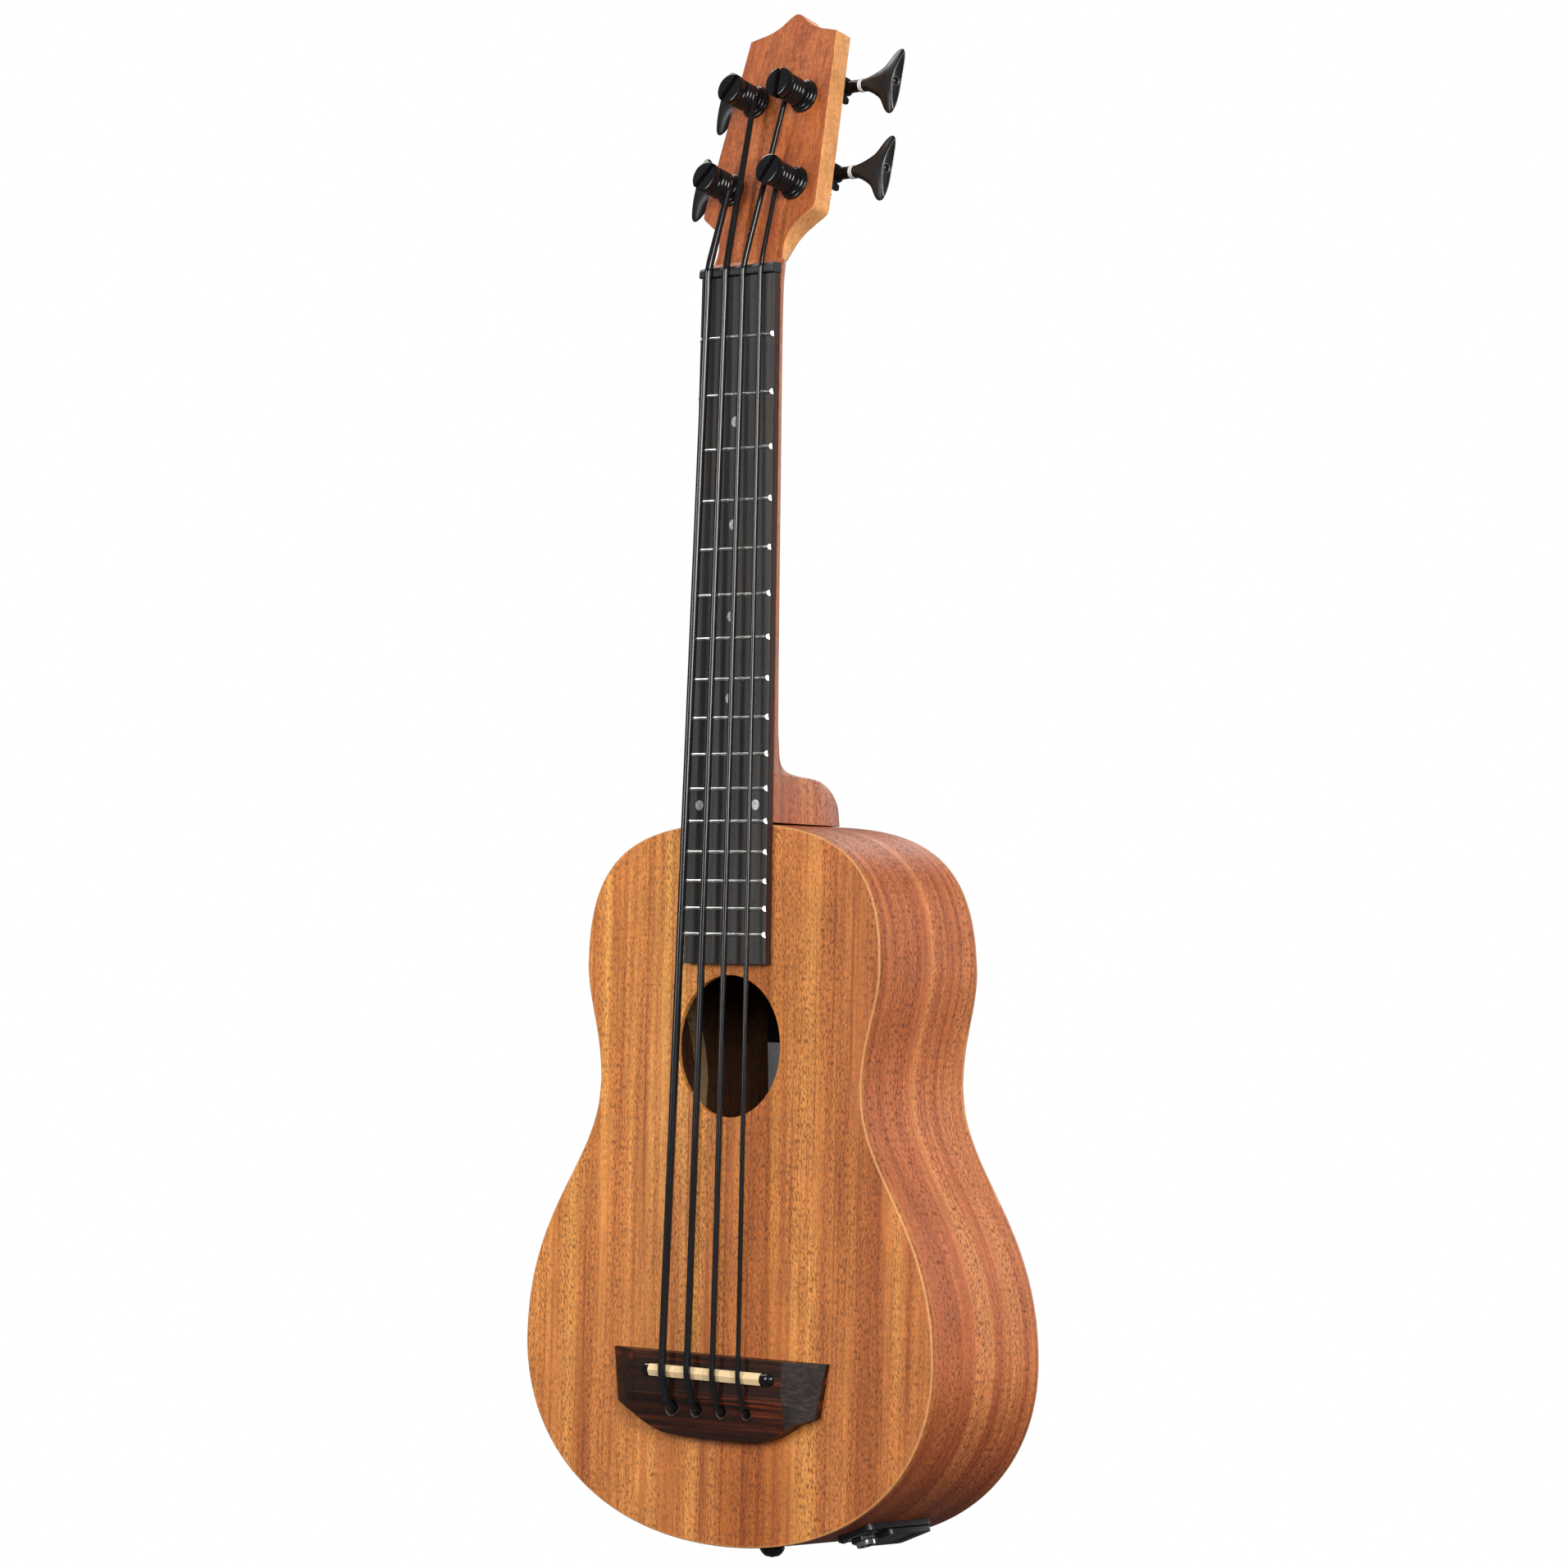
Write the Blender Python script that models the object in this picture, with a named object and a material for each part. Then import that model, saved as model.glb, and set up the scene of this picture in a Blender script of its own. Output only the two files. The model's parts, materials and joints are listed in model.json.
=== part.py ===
"""Acoustic-electric bass ukulele: hollow mahogany body, one-piece neck with a tilted headstock, four thick
rubber strings on open-gear tuners, a piezo saddle and its electronics. It stands upright: +Z runs up the neck,
the front faces -Y, and +X is the treble side. The origin is on the centre line at the nut's front edge, on the
fingerboard's playing surface. Every solid is one closed body, and neighbours keep a 0.3 mm gap."""

import math

import bmesh
import bpy
from mathutils import Matrix, Vector
from mathutils.geometry import interpolate_bezier

MM = 0.001
GAP = 0.3 * MM

# Strings and neck
SCALE_LENGTH = 528 * MM
FRET_COUNT = 16
NUT_WIDTH = 49 * MM
TWELFTH_WIDTH = 53.6 * MM
BOARD_END = -332.7 * MM
BOARD_THICKNESS = 4 * MM
STRING_NAMES = ("e", "a", "d", "g")
STRING_RADII = (1.95 * MM, 1.7 * MM, 1.45 * MM, 1.18 * MM)
NUT_SPACING = 11.5 * MM
SADDLE_SPACING = 16.7 * MM
NUT_LENGTH = 4.8 * MM

# Body
TOP_FRONT = BOARD_THICKNESS + GAP
PLATE = 2.5 * MM
RIB = 2 * MM
BODY_TOP = -264.6 * MM
BODY_BOTTOM = -612.2 * MM
BACK_DEPTH = 70.3 * MM
BACK_TAPER = 0.0375
BACK_RADIUS = 3600 * MM
DISH_CENTRE = -438 * MM
HOLE_RADIUS = 34.25 * MM
HOLE_Z = -372.3 * MM

# Bridge
SADDLE_Z = -529.4 * MM
HOLE_ROW_Z = -547.5 * MM
BRIDGE_HEIGHT = 10.2 * MM
SADDLE_HEIGHT = 13.6 * MM
BRIDGE_BASE = TOP_FRONT - GAP
BRIDGE_TOP = TOP_FRONT - BRIDGE_HEIGHT
SADDLE_CREST = TOP_FRONT - SADDLE_HEIGHT
STEP_Z = -541.2 * MM
SLOT_FLOOR = BRIDGE_TOP + 7 * MM

# Headstock: its own frame has y behind the face and z along it
TILT = math.radians(14)
FACE_OFFSET = 4.81 * MM
HEAD_THICKNESS = 11 * MM
HEAD = Matrix.Rotation(-TILT, 4, "X") @ Matrix.Translation((0, FACE_OFFSET, 0))

# Tuners: post places on the face, then the worm shaft's distance along and behind it
POSTS = {
    "e": (-21.3 * MM, 47.5 * MM),
    "a": (-16.2 * MM, 93 * MM),
    "d": (16.2 * MM, 93 * MM),
    "g": (21.3 * MM, 47.5 * MM),
}
KEY_RISE = 11 * MM
KEY_DEPTH = 18.2 * MM
POST_HEIGHT = 20.4 * MM
POST_WAIST = 4 * MM
WRAP_HEIGHT = 7.2 * MM
BORE_RADIUS = 3.75 * MM

# Electronics at the lower treble side and on the upper bass side
JACK_NORMAL = math.radians(21.5)
JACK = Matrix.Translation((73 * MM, 42 * MM, -599.7 * MM)) @ Matrix.Rotation(math.pi - JACK_NORMAL, 4, "Y")
JACK_Y = -14.7 * MM
DRAWER_Y = 7 * MM
PANEL_Z = -333 * MM
PANEL_Y = 38 * MM
PANEL_X = -98 * MM
KNOB_OFFSET = 13 * MM

BODY_NODES = (
    ((0, BODY_TOP), (1, 0)),
    ((98 * MM, -333 * MM), (0, -1)),
    ((87.4 * MM, -391 * MM), (0, -1)),
    ((136 * MM, -519 * MM), (0, -1)),
    ((0, BODY_BOTTOM), (-1, 0)),
)
BODY_HANDLES = ((74, 48), (18.5, 24.5), (40.5, 66), (54, 83.5))
BODY_STEPS = 11


# ---------------------------------------------------------------- materials


def material(name, colour, roughness, metallic=0.0):
    """A plain Principled finish."""
    made = bpy.data.materials.new(name)
    made.use_nodes = True
    shader = made.node_tree.nodes["Principled BSDF"]
    shader.inputs["Base Color"].default_value = (*colour, 1)
    shader.inputs["Roughness"].default_value = roughness
    shader.inputs["Metallic"].default_value = metallic
    return made


def make_materials():
    """Every finish by its slot name."""
    return {
        "mahogany_top": material("mahogany_top", (0.50, 0.22, 0.08), 0.5),
        "mahogany_body": material("mahogany_body", (0.36, 0.13, 0.055), 0.5),
        "mahogany_neck": material("mahogany_neck", (0.42, 0.17, 0.07), 0.5),
        "spruce": material("spruce", (0.62, 0.44, 0.26), 0.7),
        "board": material("board", (0.03, 0.028, 0.027), 0.55),
        "rosewood": material("rosewood", (0.06, 0.022, 0.016), 0.5),
        "nut_black": material("nut_black", (0.045, 0.045, 0.05), 0.45),
        "fret_wire": material("fret_wire", (0.75, 0.74, 0.70), 0.25, 1.0),
        "ivory": material("ivory", (0.80, 0.70, 0.48), 0.4),
        "string_rubber": material("string_rubber", (0.012, 0.012, 0.013), 0.45),
        "tuner_black": material("tuner_black", (0.012, 0.012, 0.013), 0.22, 0.4),
        "black_plastic": material("black_plastic", (0.015, 0.015, 0.016), 0.35),
        "nickel": material("nickel", (0.70, 0.69, 0.66), 0.2, 1.0),
        "battery_case": material("battery_case", (0.10, 0.11, 0.13), 0.4),
    }


# ---------------------------------------------------------------- modelling tools


def add_object(name, bm, finish):
    """Makes a smooth-shaded object from a bmesh, with its faces pointing out."""
    bmesh.ops.recalc_face_normals(bm, faces=bm.faces)
    mesh = bpy.data.meshes.new(name)
    bm.to_mesh(mesh)
    bm.free()
    made = bpy.data.objects.new(name, mesh)
    bpy.context.scene.collection.objects.link(made)
    mesh.shade_smooth()
    mesh.set_sharp_from_angle(angle=math.radians(35))
    if finish is not None:
        mesh.materials.append(finish)
    return made


def loft(name, sections, finish, closed=False):
    """Skins a run of loops that have as many points each, and caps its ends unless it closes on itself."""
    bm = bmesh.new()
    rings = [[bm.verts.new(point) for point in section] for section in sections]
    pairs = list(zip(rings, rings[1:]))
    if closed:
        pairs.append((rings[-1], rings[0]))
    for one, two in pairs:
        for i in range(len(one)):
            j = (i + 1) % len(one)
            bm.faces.new((one[i], one[j], two[j], two[i]))
    if not closed:
        bm.faces.new(rings[0])
        bm.faces.new(rings[-1])
    return add_object(name, bm, finish)


def prism(name, outline, low, high, finish, axis="Y", place=None):
    """Extrudes a flat outline along an axis. Its pairs are the other two coordinates, in X, Y, Z order."""
    place = place or Matrix.Identity(4)
    order = {"X": (2, 0, 1), "Y": (0, 2, 1), "Z": (0, 1, 2)}[axis]

    def put(pair, depth):
        values = (pair[0], pair[1], depth)
        return place @ Vector(values[order[k]] for k in range(3))

    return loft(name, [[put(p, depth) for p in outline] for depth in (low, high)], finish)


def box(name, low, high, finish, place=None):
    """A block between two corners."""
    outline = ((low[0], low[1]), (high[0], low[1]), (high[0], high[1]), (low[0], high[1]))
    return prism(name, outline, low[2], high[2], finish, "Z", place)


def circle(radius, height, steps, turn=0.0):
    """A loop of points round the Z axis."""
    angles = [2 * math.pi * (k + turn) / steps for k in range(steps)]
    return [Vector((radius * math.cos(a), radius * math.sin(a), height)) for a in angles]


def turned(name, profile, place, finish, steps=24, bored=False):
    """A turned solid about the place's Z axis, from (radius, height) pairs. A bored one closes on itself."""
    sections = [[place @ p for p in circle(radius, height, steps)] for radius, height in profile]
    return loft(name, sections, finish, closed=bored)


def spline(points, steps):
    """A smooth line through the points: a Catmull-Rom curve with a number of steps for each stretch."""
    points = [Vector(p) for p in points]
    padded = [2 * points[0] - points[1], *points, 2 * points[-1] - points[-2]]
    line = []
    for a, b, c, d in zip(padded, padded[1:], padded[2:], padded[3:]):
        for k in range(steps):
            t = k / steps
            square, cube = 2 * a - 5 * b + 4 * c - d, 3 * b - a - 3 * c + d
            line.append(0.5 * (2 * b + (c - a) * t + square * t**2 + cube * t**3))
    return [*line, points[-1]]


def tube(name, path, radius, finish, sides=8):
    """A round cord along a path that stays close to one plane, with flat ends."""
    sections = []
    for i, point in enumerate(path):
        along = (path[min(i + 1, len(path) - 1)] - path[max(i - 1, 0)]).normalized()
        across = (Vector((1, 0, 0)) - along * along.x).normalized()
        other = along.cross(across)
        angles = [2 * math.pi * k / sides for k in range(sides)]
        sections.append([point + radius * (across * math.cos(a) + other * math.sin(a)) for a in angles])
    return loft(name, sections, finish)


def combine(target, tool, operation="DIFFERENCE"):
    """Cuts the tool out of the target, or adds it, and hides the tool."""
    tool.hide_render = True
    tool.display_type = "WIRE"
    modifier = target.modifiers.new(f"{operation.lower()}_{tool.name}", "BOOLEAN")
    modifier.operation = operation
    modifier.solver = "EXACT"
    modifier.object = tool
    return target


# ---------------------------------------------------------------- body


def treble_outline():
    """The body's treble half from the neck to the tail, as (x, z) points on four Bezier stretches."""
    line = []
    for (start, leaving), (end, arriving), (out, back) in zip(BODY_NODES, BODY_NODES[1:], BODY_HANDLES):
        a, d = Vector((*start, 0)), Vector((*end, 0))
        b = a + Vector((*leaving, 0)) * out * MM
        c = d - Vector((*arriving, 0)) * back * MM
        stretch = interpolate_bezier(a, b, c, d, BODY_STEPS)
        line.extend(stretch[1:] if line else stretch)
    return [(p.x, p.y) for p in line]


def inset_half(inset):
    """The treble half moved inwards by a distance, with its ends kept on the centre line."""
    line = treble_outline()
    moved = []
    for i, (x, z) in enumerate(line):
        before, after = line[max(i - 1, 0)], line[min(i + 1, len(line) - 1)]
        along = Vector((after[0] - before[0], after[1] - before[1])).normalized()
        if i == 0 or i == len(line) - 1:
            along = Vector((1 if i == 0 else -1, 0))
        moved.append((max(x + along.y * inset, 0), z - along.x * inset))
    return moved


def full_outline(inset=0.0):
    """The whole body outline as a loop: treble side down, bass side up."""
    half = inset_half(inset)
    return half + [(-x, z) for x, z in reversed(half[1:-1])]


def back_surface(x, z):
    """How far back the dished back's outer face is at a point."""
    dish = (x**2 + (z - DISH_CENTRE) ** 2) / (2 * BACK_RADIUS)
    return TOP_FRONT + BACK_DEPTH - BACK_TAPER * (z + 281 * MM) - dish


def back_inside(x, z):
    """The face that the ribs, blocks and braces meet behind the back plate."""
    return back_surface(x, z) - PLATE - GAP


def make_soundboard(mats):
    """The flat top: a ring of faces between the outline and the soundhole's rim."""
    centre = Vector((0, HOLE_Z))
    outer = [Vector(p) for p in full_outline()]
    inner = [centre + (p - centre).normalized() * HOLE_RADIUS for p in outer]
    front, back = TOP_FRONT, TOP_FRONT + PLATE
    loops = ((outer, front), (inner, front), (inner, back), (outer, back))
    sections = [[Vector((p.x, y, p.y)) for p in loop] for loop, y in loops]
    return loft("soundboard", sections, mats["mahogany_top"], closed=True)


def make_back_plate(mats):
    """The back: a plate dished both ways, made of rings that close in on its middle."""
    outline = full_outline()
    shares = (1, 0.8, 0.55, 0.28)
    rings = []
    for share in shares:
        rings.append([(x * share, DISH_CENTRE + (z - DISH_CENTRE) * share) for x, z in outline])

    def skin(ring, thickness):
        return [Vector((x, back_surface(x, z) - thickness, z)) for x, z in ring]

    sections = [skin(ring, 0) for ring in reversed(rings)] + [skin(ring, PLATE) for ring in rings]
    return loft("back_plate", sections, mats["mahogany_body"])


def make_rib(name, side, mats):
    """One bent side, from the neck joint round to the tail seam."""
    front = TOP_FRONT + PLATE + GAP
    sections = []
    for (x, z), (inner_x, inner_z) in zip(inset_half(0), inset_half(RIB)):
        x, inner_x = max(x, GAP / 2), max(inner_x, GAP / 2)
        back = min(back_inside(x, z), back_inside(inner_x, inner_z))
        sections.append(
            [
                Vector((side * x, front, z)),
                Vector((side * x, back, z)),
                Vector((side * inner_x, back, inner_z)),
                Vector((side * inner_x, front, inner_z)),
            ]
        )
    return loft(name, sections, mats["mahogany_body"])


def make_lining(name, at_front, mats):
    """The glued strip inside the ribs that widens the joint to a plate."""
    height, thickness = 6 * MM, 3 * MM
    sections = []
    outer, inner = full_outline(RIB + GAP), full_outline(RIB + GAP + thickness)
    for (x, z), (inner_x, inner_z) in zip(outer, inner):
        if at_front:
            low = TOP_FRONT + PLATE + GAP
            high = low + height
        else:
            high = min(back_inside(x, z), back_inside(inner_x, inner_z))
            low = high - height
        sections.append(
            [
                Vector((x, low, z)),
                Vector((x, high, z)),
                Vector((inner_x, high, inner_z)),
                Vector((inner_x, low, inner_z)),
            ]
        )
    return loft(name, sections, mats["spruce"], closed=True)


def make_brace(name, z, half_length, face, direction, mats):
    """A bar across the inside of a plate. Its glued face follows the plate and its ends are scalloped."""
    width, height, tip = 7 * MM, 8 * MM, 2.5 * MM
    sections = []
    for k in range(-6, 7):
        x = half_length * k / 6
        tall = height if abs(k) < 5 else (height + tip) / 2 if abs(k) == 5 else tip
        near = face(x, z)
        far = near + direction * tall
        sections.append(
            [
                Vector((x, near, z - width / 2)),
                Vector((x, near, z + width / 2)),
                Vector((x, far, z + width / 4)),
                Vector((x, far, z - width / 4)),
            ]
        )
    return loft(name, sections, mats["spruce"])


def make_blocks(mats):
    """The neck and tail blocks that join the ribs' ends."""
    front = TOP_FRONT + PLATE + GAP
    blocks = []
    for name, half_width, top, bottom in (
        ("neck_block", 29 * MM, -273 * MM, -304 * MM),
        ("tail_block", 26 * MM, -589 * MM, -604 * MM),
    ):
        back = min(back_inside(half_width, top), back_inside(half_width, bottom))
        blocks.append(box(name, (-half_width, front, bottom), (half_width, back, top), mats["mahogany_body"]))
    return blocks


def make_body(mats):
    """The hollow body with everything glued inside it."""
    top_inside = TOP_FRONT + PLATE + GAP
    soundboard = make_soundboard(mats)
    make_back_plate(mats)
    bass = make_rib("rib_bass", -1, mats)
    treble = make_rib("rib_treble", 1, mats)
    make_lining("lining_top", True, mats)
    make_lining("lining_back", False, mats)
    _, tail = make_blocks(mats)
    make_brace("top_brace_upper", -322 * MM, 84 * MM, lambda x, z: top_inside, 1, mats)
    make_brace("top_brace_lower", -425 * MM, 84 * MM, lambda x, z: top_inside, 1, mats)
    make_brace("back_brace", -440 * MM, 92 * MM, back_inside, -1, mats)
    patch = ((-62 * MM, -514 * MM), (62 * MM, -514 * MM), (50 * MM, -563 * MM), (-50 * MM, -563 * MM))
    bridge_patch = prism("bridge_patch", patch, top_inside, top_inside + 2.5 * MM, mats["spruce"])
    return soundboard, bass, treble, tail, bridge_patch


# ---------------------------------------------------------------- neck


def board_half_width(z):
    """Half the fingerboard's width, which grows evenly towards the body."""
    return (NUT_WIDTH + (TWELFTH_WIDTH - NUT_WIDTH) * -z / (SCALE_LENGTH / 2)) / 2


def neck_section(half_width, back_width, depth, roundness):
    """A flat-topped cross section: 0 depth at its two front corners and a superellipse behind them."""
    steps = 14
    points = []
    for k in range(steps + 1):
        angle = math.pi * k / steps
        share = math.sin(angle) ** (2 / roundness)
        reach = math.copysign(abs(math.cos(angle)) ** (2 / roundness), math.cos(angle))
        points.append((reach * (half_width + (back_width - half_width) * share), depth * share))
    return points


HEAD_OUTLINE = (
    (9, 22.8),
    (13, 22.1),
    (17, 22),
    (21, 23),
    (25.4, 25.6),
    (29, 29.8),
    (32, 34.4),
    (33.8, 37.5),
    (35, 37.6),
    (80, 33.4),
    (126.4, 28.9),
    (127.4, 24.5),
    (128.8, 18),
    (130.8, 12.4),
    (133.6, 7.8),
    (136.3, 4.6),
    (138, 2),
)
SHAFT = (
    # z, depth, roundness
    (NUT_LENGTH / MM + 0.2, 12.6, 2.1),
    (-8, 12.6, 1.8),
    (-40, 12.8, 1.7),
    (-130, 13.8, 1.7),
    (-210, 15.2, 1.7),
    (-226, 15.8, 1.8),
)
HEEL = (
    # z, depth, back half-width, roundness
    (-233, 17.5, 23, 2.1),
    (-237, 20.5, 20, 2.6),
    (-239.6, 25, 18.5, 3.2),
    (-241.2, 33, 17.5, 4),
    (-242, 42.5, 17, 5),
    (-243.2, 49, 17, 5.5),
    (-246.5, 55.5, 17, 5.5),
    (-251, 60, 17, 5.5),
    (-256, 62.6, 17, 5.5),
    (-264.3, 64, 17, 5.5),
)


def make_neck(mats):
    """Headstock, shaft and heel as one carved piece, with the four tuner holes through the headstock."""
    sections = []
    for s, half in reversed(HEAD_OUTLINE):
        soft = min(2.1 * math.exp(0.118 * (s - 9)), 14)
        ring = neck_section(half * MM, half * MM, HEAD_THICKNESS, soft)
        sections.append([HEAD @ Vector((x, y, s * MM)) for x, y in ring])
    for z, depth, soft in SHAFT:
        width = board_half_width(min(z * MM, 0))
        ring = neck_section(width, width, depth * MM, soft)
        sections.append([Vector((x, TOP_FRONT + y, z * MM)) for x, y in ring])
    for z, depth, back_width, soft in HEEL:
        ring = neck_section(board_half_width(z * MM), back_width * MM, depth * MM, soft)
        sections.append([Vector((x, TOP_FRONT + y, z * MM)) for x, y in ring])
    neck = loft("neck", sections, mats["mahogany_neck"])
    for name, (x, s) in POSTS.items():
        place = HEAD @ Matrix.Translation((x, 0, s)) @ Matrix.Rotation(math.pi / 2, 4, "X")
        ends = ((5.6 * MM, -HEAD_THICKNESS - 5 * MM), (5.6 * MM, 5 * MM))
        combine(neck, turned(f"cut_post_{name}", ends, place, None, 20))
    return neck


def fret_z(number):
    """How far down the neck a fret is: each one takes a twelfth root of 2 off the string."""
    return -SCALE_LENGTH * (1 - 0.5 ** (number / 12))


def make_fingerboard(mats):
    """The board with a slot for each fret's tang."""
    top, end = -GAP, BOARD_END
    outline = (
        (-board_half_width(top), top),
        (board_half_width(top), top),
        (board_half_width(end), end),
        (-board_half_width(end), end),
    )
    board = prism("fingerboard", outline, 0, BOARD_THICKNESS, mats["board"])
    slot, depth = 1.2 * MM, 1.7 * MM
    for number in range(1, FRET_COUNT + 1):
        z = fret_z(number)
        low = (-NUT_WIDTH, -MM, z - slot / 2)
        combine(board, box(f"cut_fret_{number:02d}", low, (NUT_WIDTH, depth, z + slot / 2), None))
    return board


def make_fret(number, mats):
    """One fret: a rounded crown over a tang, with its ends filed at a slope."""
    z, crown, width, tang = fret_z(number), 1.15 * MM, 1.25 * MM, 0.3 * MM
    rim = [(width * math.cos(a), -0.1 * MM - crown * math.sin(a)) for a in (math.pi * k / 6 for k in range(7))]
    profile = [*rim, (-tang, -0.1 * MM), (-tang, 1.3 * MM), (tang, 1.3 * MM), (tang, -0.1 * MM)]
    half = board_half_width(z) - 0.3 * MM
    sections = []
    for side in (-1, 1):
        sections.append([Vector((side * (half + 0.6 * min(y, 0)), y, z + dz)) for dz, y in profile])
    return loft(f"fret_{number:02d}", sections, mats["fret_wire"])


# ---------------------------------------------------------------- strings, nut, bridge


def string_x(index, spacing):
    """Where a string is across the instrument, for a spacing."""
    return (index - 1.5) * spacing


def mouth_radius(radius):
    """How wide a string's hole opens at the bridge's surface."""
    return 1.7 * radius + MM


def string_path(index):
    """A string's centre line: off its post, over the nut and the saddle and down its hole in the bridge."""
    radius = STRING_RADII[index]
    x, s = POSTS[STRING_NAMES[index]]
    inwards = -math.copysign(POST_WAIST + radius + GAP, x)
    start = HEAD @ Vector((x + inwards, -WRAP_HEIGHT, s))
    nut_x, saddle_x = string_x(index, NUT_SPACING), string_x(index, SADDLE_SPACING)
    nut_y = -(1.1 * MM + radius)
    over_nut = [
        Vector((nut_x, nut_y + 0.5 * MM, NUT_LENGTH - 0.6 * MM)),
        Vector((nut_x, nut_y, NUT_LENGTH * 0.4)),
        Vector((nut_x, nut_y, -6 * MM)),
    ]
    lead = start.lerp(over_nut[0], 0.9)
    lead.y -= 0.25 * MM
    crest = SADDLE_CREST - GAP - radius
    edge = BRIDGE_TOP - 2 * GAP - radius
    mouth = mouth_radius(radius)
    tail = (
        (crest + 0.15 * MM, SADDLE_Z + 7 * MM),
        (crest, SADDLE_Z),
        ((crest + edge) / 2 - 0.2 * MM, SADDLE_Z - 6 * MM),
        (edge, HOLE_ROW_Z + 6.6 * MM),
        (edge + 0.7 * MM, HOLE_ROW_Z + mouth - 0.3 * MM),
        (BRIDGE_TOP + 1.5 * MM, HOLE_ROW_Z + 0.3 * mouth),
        (BRIDGE_TOP + 5.5 * MM, HOLE_ROW_Z),
        (TOP_FRONT + 9 * MM, HOLE_ROW_Z),
    )
    return [start, *spline([lead, *over_nut], 2), *spline([Vector((saddle_x, y, z)) for y, z in tail], 2)]


def make_strings(nut, bridge, soundboard, patch, mats):
    """The four strings, the nut grooves they lie in and the holes they end in."""
    for index, name in enumerate(STRING_NAMES):
        radius = STRING_RADII[index]
        path = string_path(index)
        tube(f"string_{name}", path, radius, mats["string_rubber"])
        combine(nut, tube(f"cut_groove_{name}", path[:9], radius + GAP, None))
        hole = Matrix.Translation((string_x(index, SADDLE_SPACING), 0, HOLE_ROW_Z))
        place = hole @ Matrix.Rotation(-math.pi / 2, 4, "X")
        mouth, fit, deep = mouth_radius(radius), radius + 0.6 * MM, 20 * MM
        narrow = BRIDGE_TOP + 5.5 * MM
        funnel = ((mouth, BRIDGE_TOP - MM), (mouth, BRIDGE_TOP + 2.6 * MM), (fit, narrow), (fit, deep))
        combine(bridge, turned(f"cut_string_{name}", funnel, place, None, 12))
        for plate in (soundboard, patch):
            ends = ((fit, TOP_FRONT - 5 * MM), (fit, deep))
            combine(plate, turned(f"cut_{plate.name}_{name}", ends, place, None, 12))


def make_nut(mats):
    """The black nut: a low bar with a sloped upper edge."""
    half = NUT_WIDTH / 2 + 0.3 * MM
    front = -1.9 * MM
    profile = (
        (TOP_FRONT - GAP, 0),
        (front + 0.4 * MM, 0),
        (front, 0.5 * MM),
        (front, NUT_LENGTH * 0.6),
        (front + 0.9 * MM, NUT_LENGTH),
        (TOP_FRONT - GAP, NUT_LENGTH),
    )
    sections = [[Vector((x, y, z)) for y, z in profile] for x in (-half, half)]
    return loft("nut", sections, mats["nut_black"])


def make_bridge(mats):
    """The rosewood bridge: a block with sloped wings, a stepped lower edge and the saddle's slot."""
    half = ((71, -520.4), (66, -546.4), (54, -550.4), (48, -554), (41, -557.3), (33, -559.6), (17, -560.8))
    outline = [(x * MM, z * MM) for x, z in half] + [(-x * MM, z * MM) for x, z in reversed(half)]
    bridge = prism("bridge", outline, BRIDGE_TOP, BRIDGE_BASE, mats["rosewood"])
    above = BRIDGE_TOP - 5 * MM
    start, end, drop = 49.5, 71.5, 8.1 * MM
    for side in (-1, 1):
        wedge = ((start, BRIDGE_TOP), (end, BRIDGE_TOP + drop), (end, above), (start, above))
        points = [(side * x * MM, y) for x, y in wedge]
        combine(bridge, prism(f"cut_wing_{side}", points, -570 * MM, -510 * MM, None, "Z"))
    slope_end = -562 * MM
    slope = (
        (above, STEP_Z),
        (BRIDGE_TOP + 0.9 * MM, STEP_Z),
        (BRIDGE_TOP + 4.6 * MM, slope_end),
        (above, slope_end),
    )
    combine(bridge, prism("cut_lower_slope", slope, -80 * MM, 80 * MM, None, "X"))
    slot_half, slot_reach = 3.3 * MM, 43.9 * MM
    slot_low = (-slot_reach, above, SADDLE_Z - slot_half)
    slot_high = (slot_reach, SLOT_FLOOR, SADDLE_Z + slot_half)
    combine(bridge, box("cut_saddle_slot", slot_low, slot_high, None))
    return bridge


def make_saddle(mats):
    """The black tray in the bridge's slot, the piezo strip on its floor and the ivory-coloured saddle bar."""
    floor = SLOT_FLOOR - GAP
    well = floor - 1.5 * MM
    end_top = SADDLE_CREST + 0.9 * MM
    half = (
        # the tray's treble half, from its floor up its rounded end to the well's wall
        (43.5, floor),
        (43.5, end_top + 1.6 * MM),
        (42.3, end_top + 0.4 * MM),
        (40.6, end_top),
        (37.8, end_top),
        (37.8, well),
    )
    points = [(x * MM, y) for x, y in half] + [(-x * MM, y) for x, y in reversed(half)]
    tray_half = 3 * MM
    prism("saddle_tray", points, SADDLE_Z - tray_half, SADDLE_Z + tray_half, mats["black_plastic"], "Z")
    strip_top = well - GAP - 1.2 * MM
    strip_low, strip_high = (-37 * MM, strip_top, SADDLE_Z - 2 * MM), (37 * MM, well - GAP, SADDLE_Z + 2 * MM)
    box("pickup_strip", strip_low, strip_high, mats["nickel"])
    base, shoulder, thick = strip_top - GAP, SADDLE_CREST + 1.3 * MM, 2.9 * MM
    profile = ((base, thick), (base, -thick), (shoulder, -thick), (SADDLE_CREST, 0), (shoulder, thick))
    sections = [[Vector((x * MM, y, SADDLE_Z + dz)) for y, dz in profile] for x in (-37.4, 37.4)]
    loft("saddle", sections, mats["ivory"])


# ---------------------------------------------------------------- tuners


def tuner_place(name):
    """The frame at a post's foot on the headstock's face, and which side of the centre line it is on."""
    x, s = POSTS[name]
    return HEAD @ Matrix.Translation((x, 0, s)), math.copysign(1, x)


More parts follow.
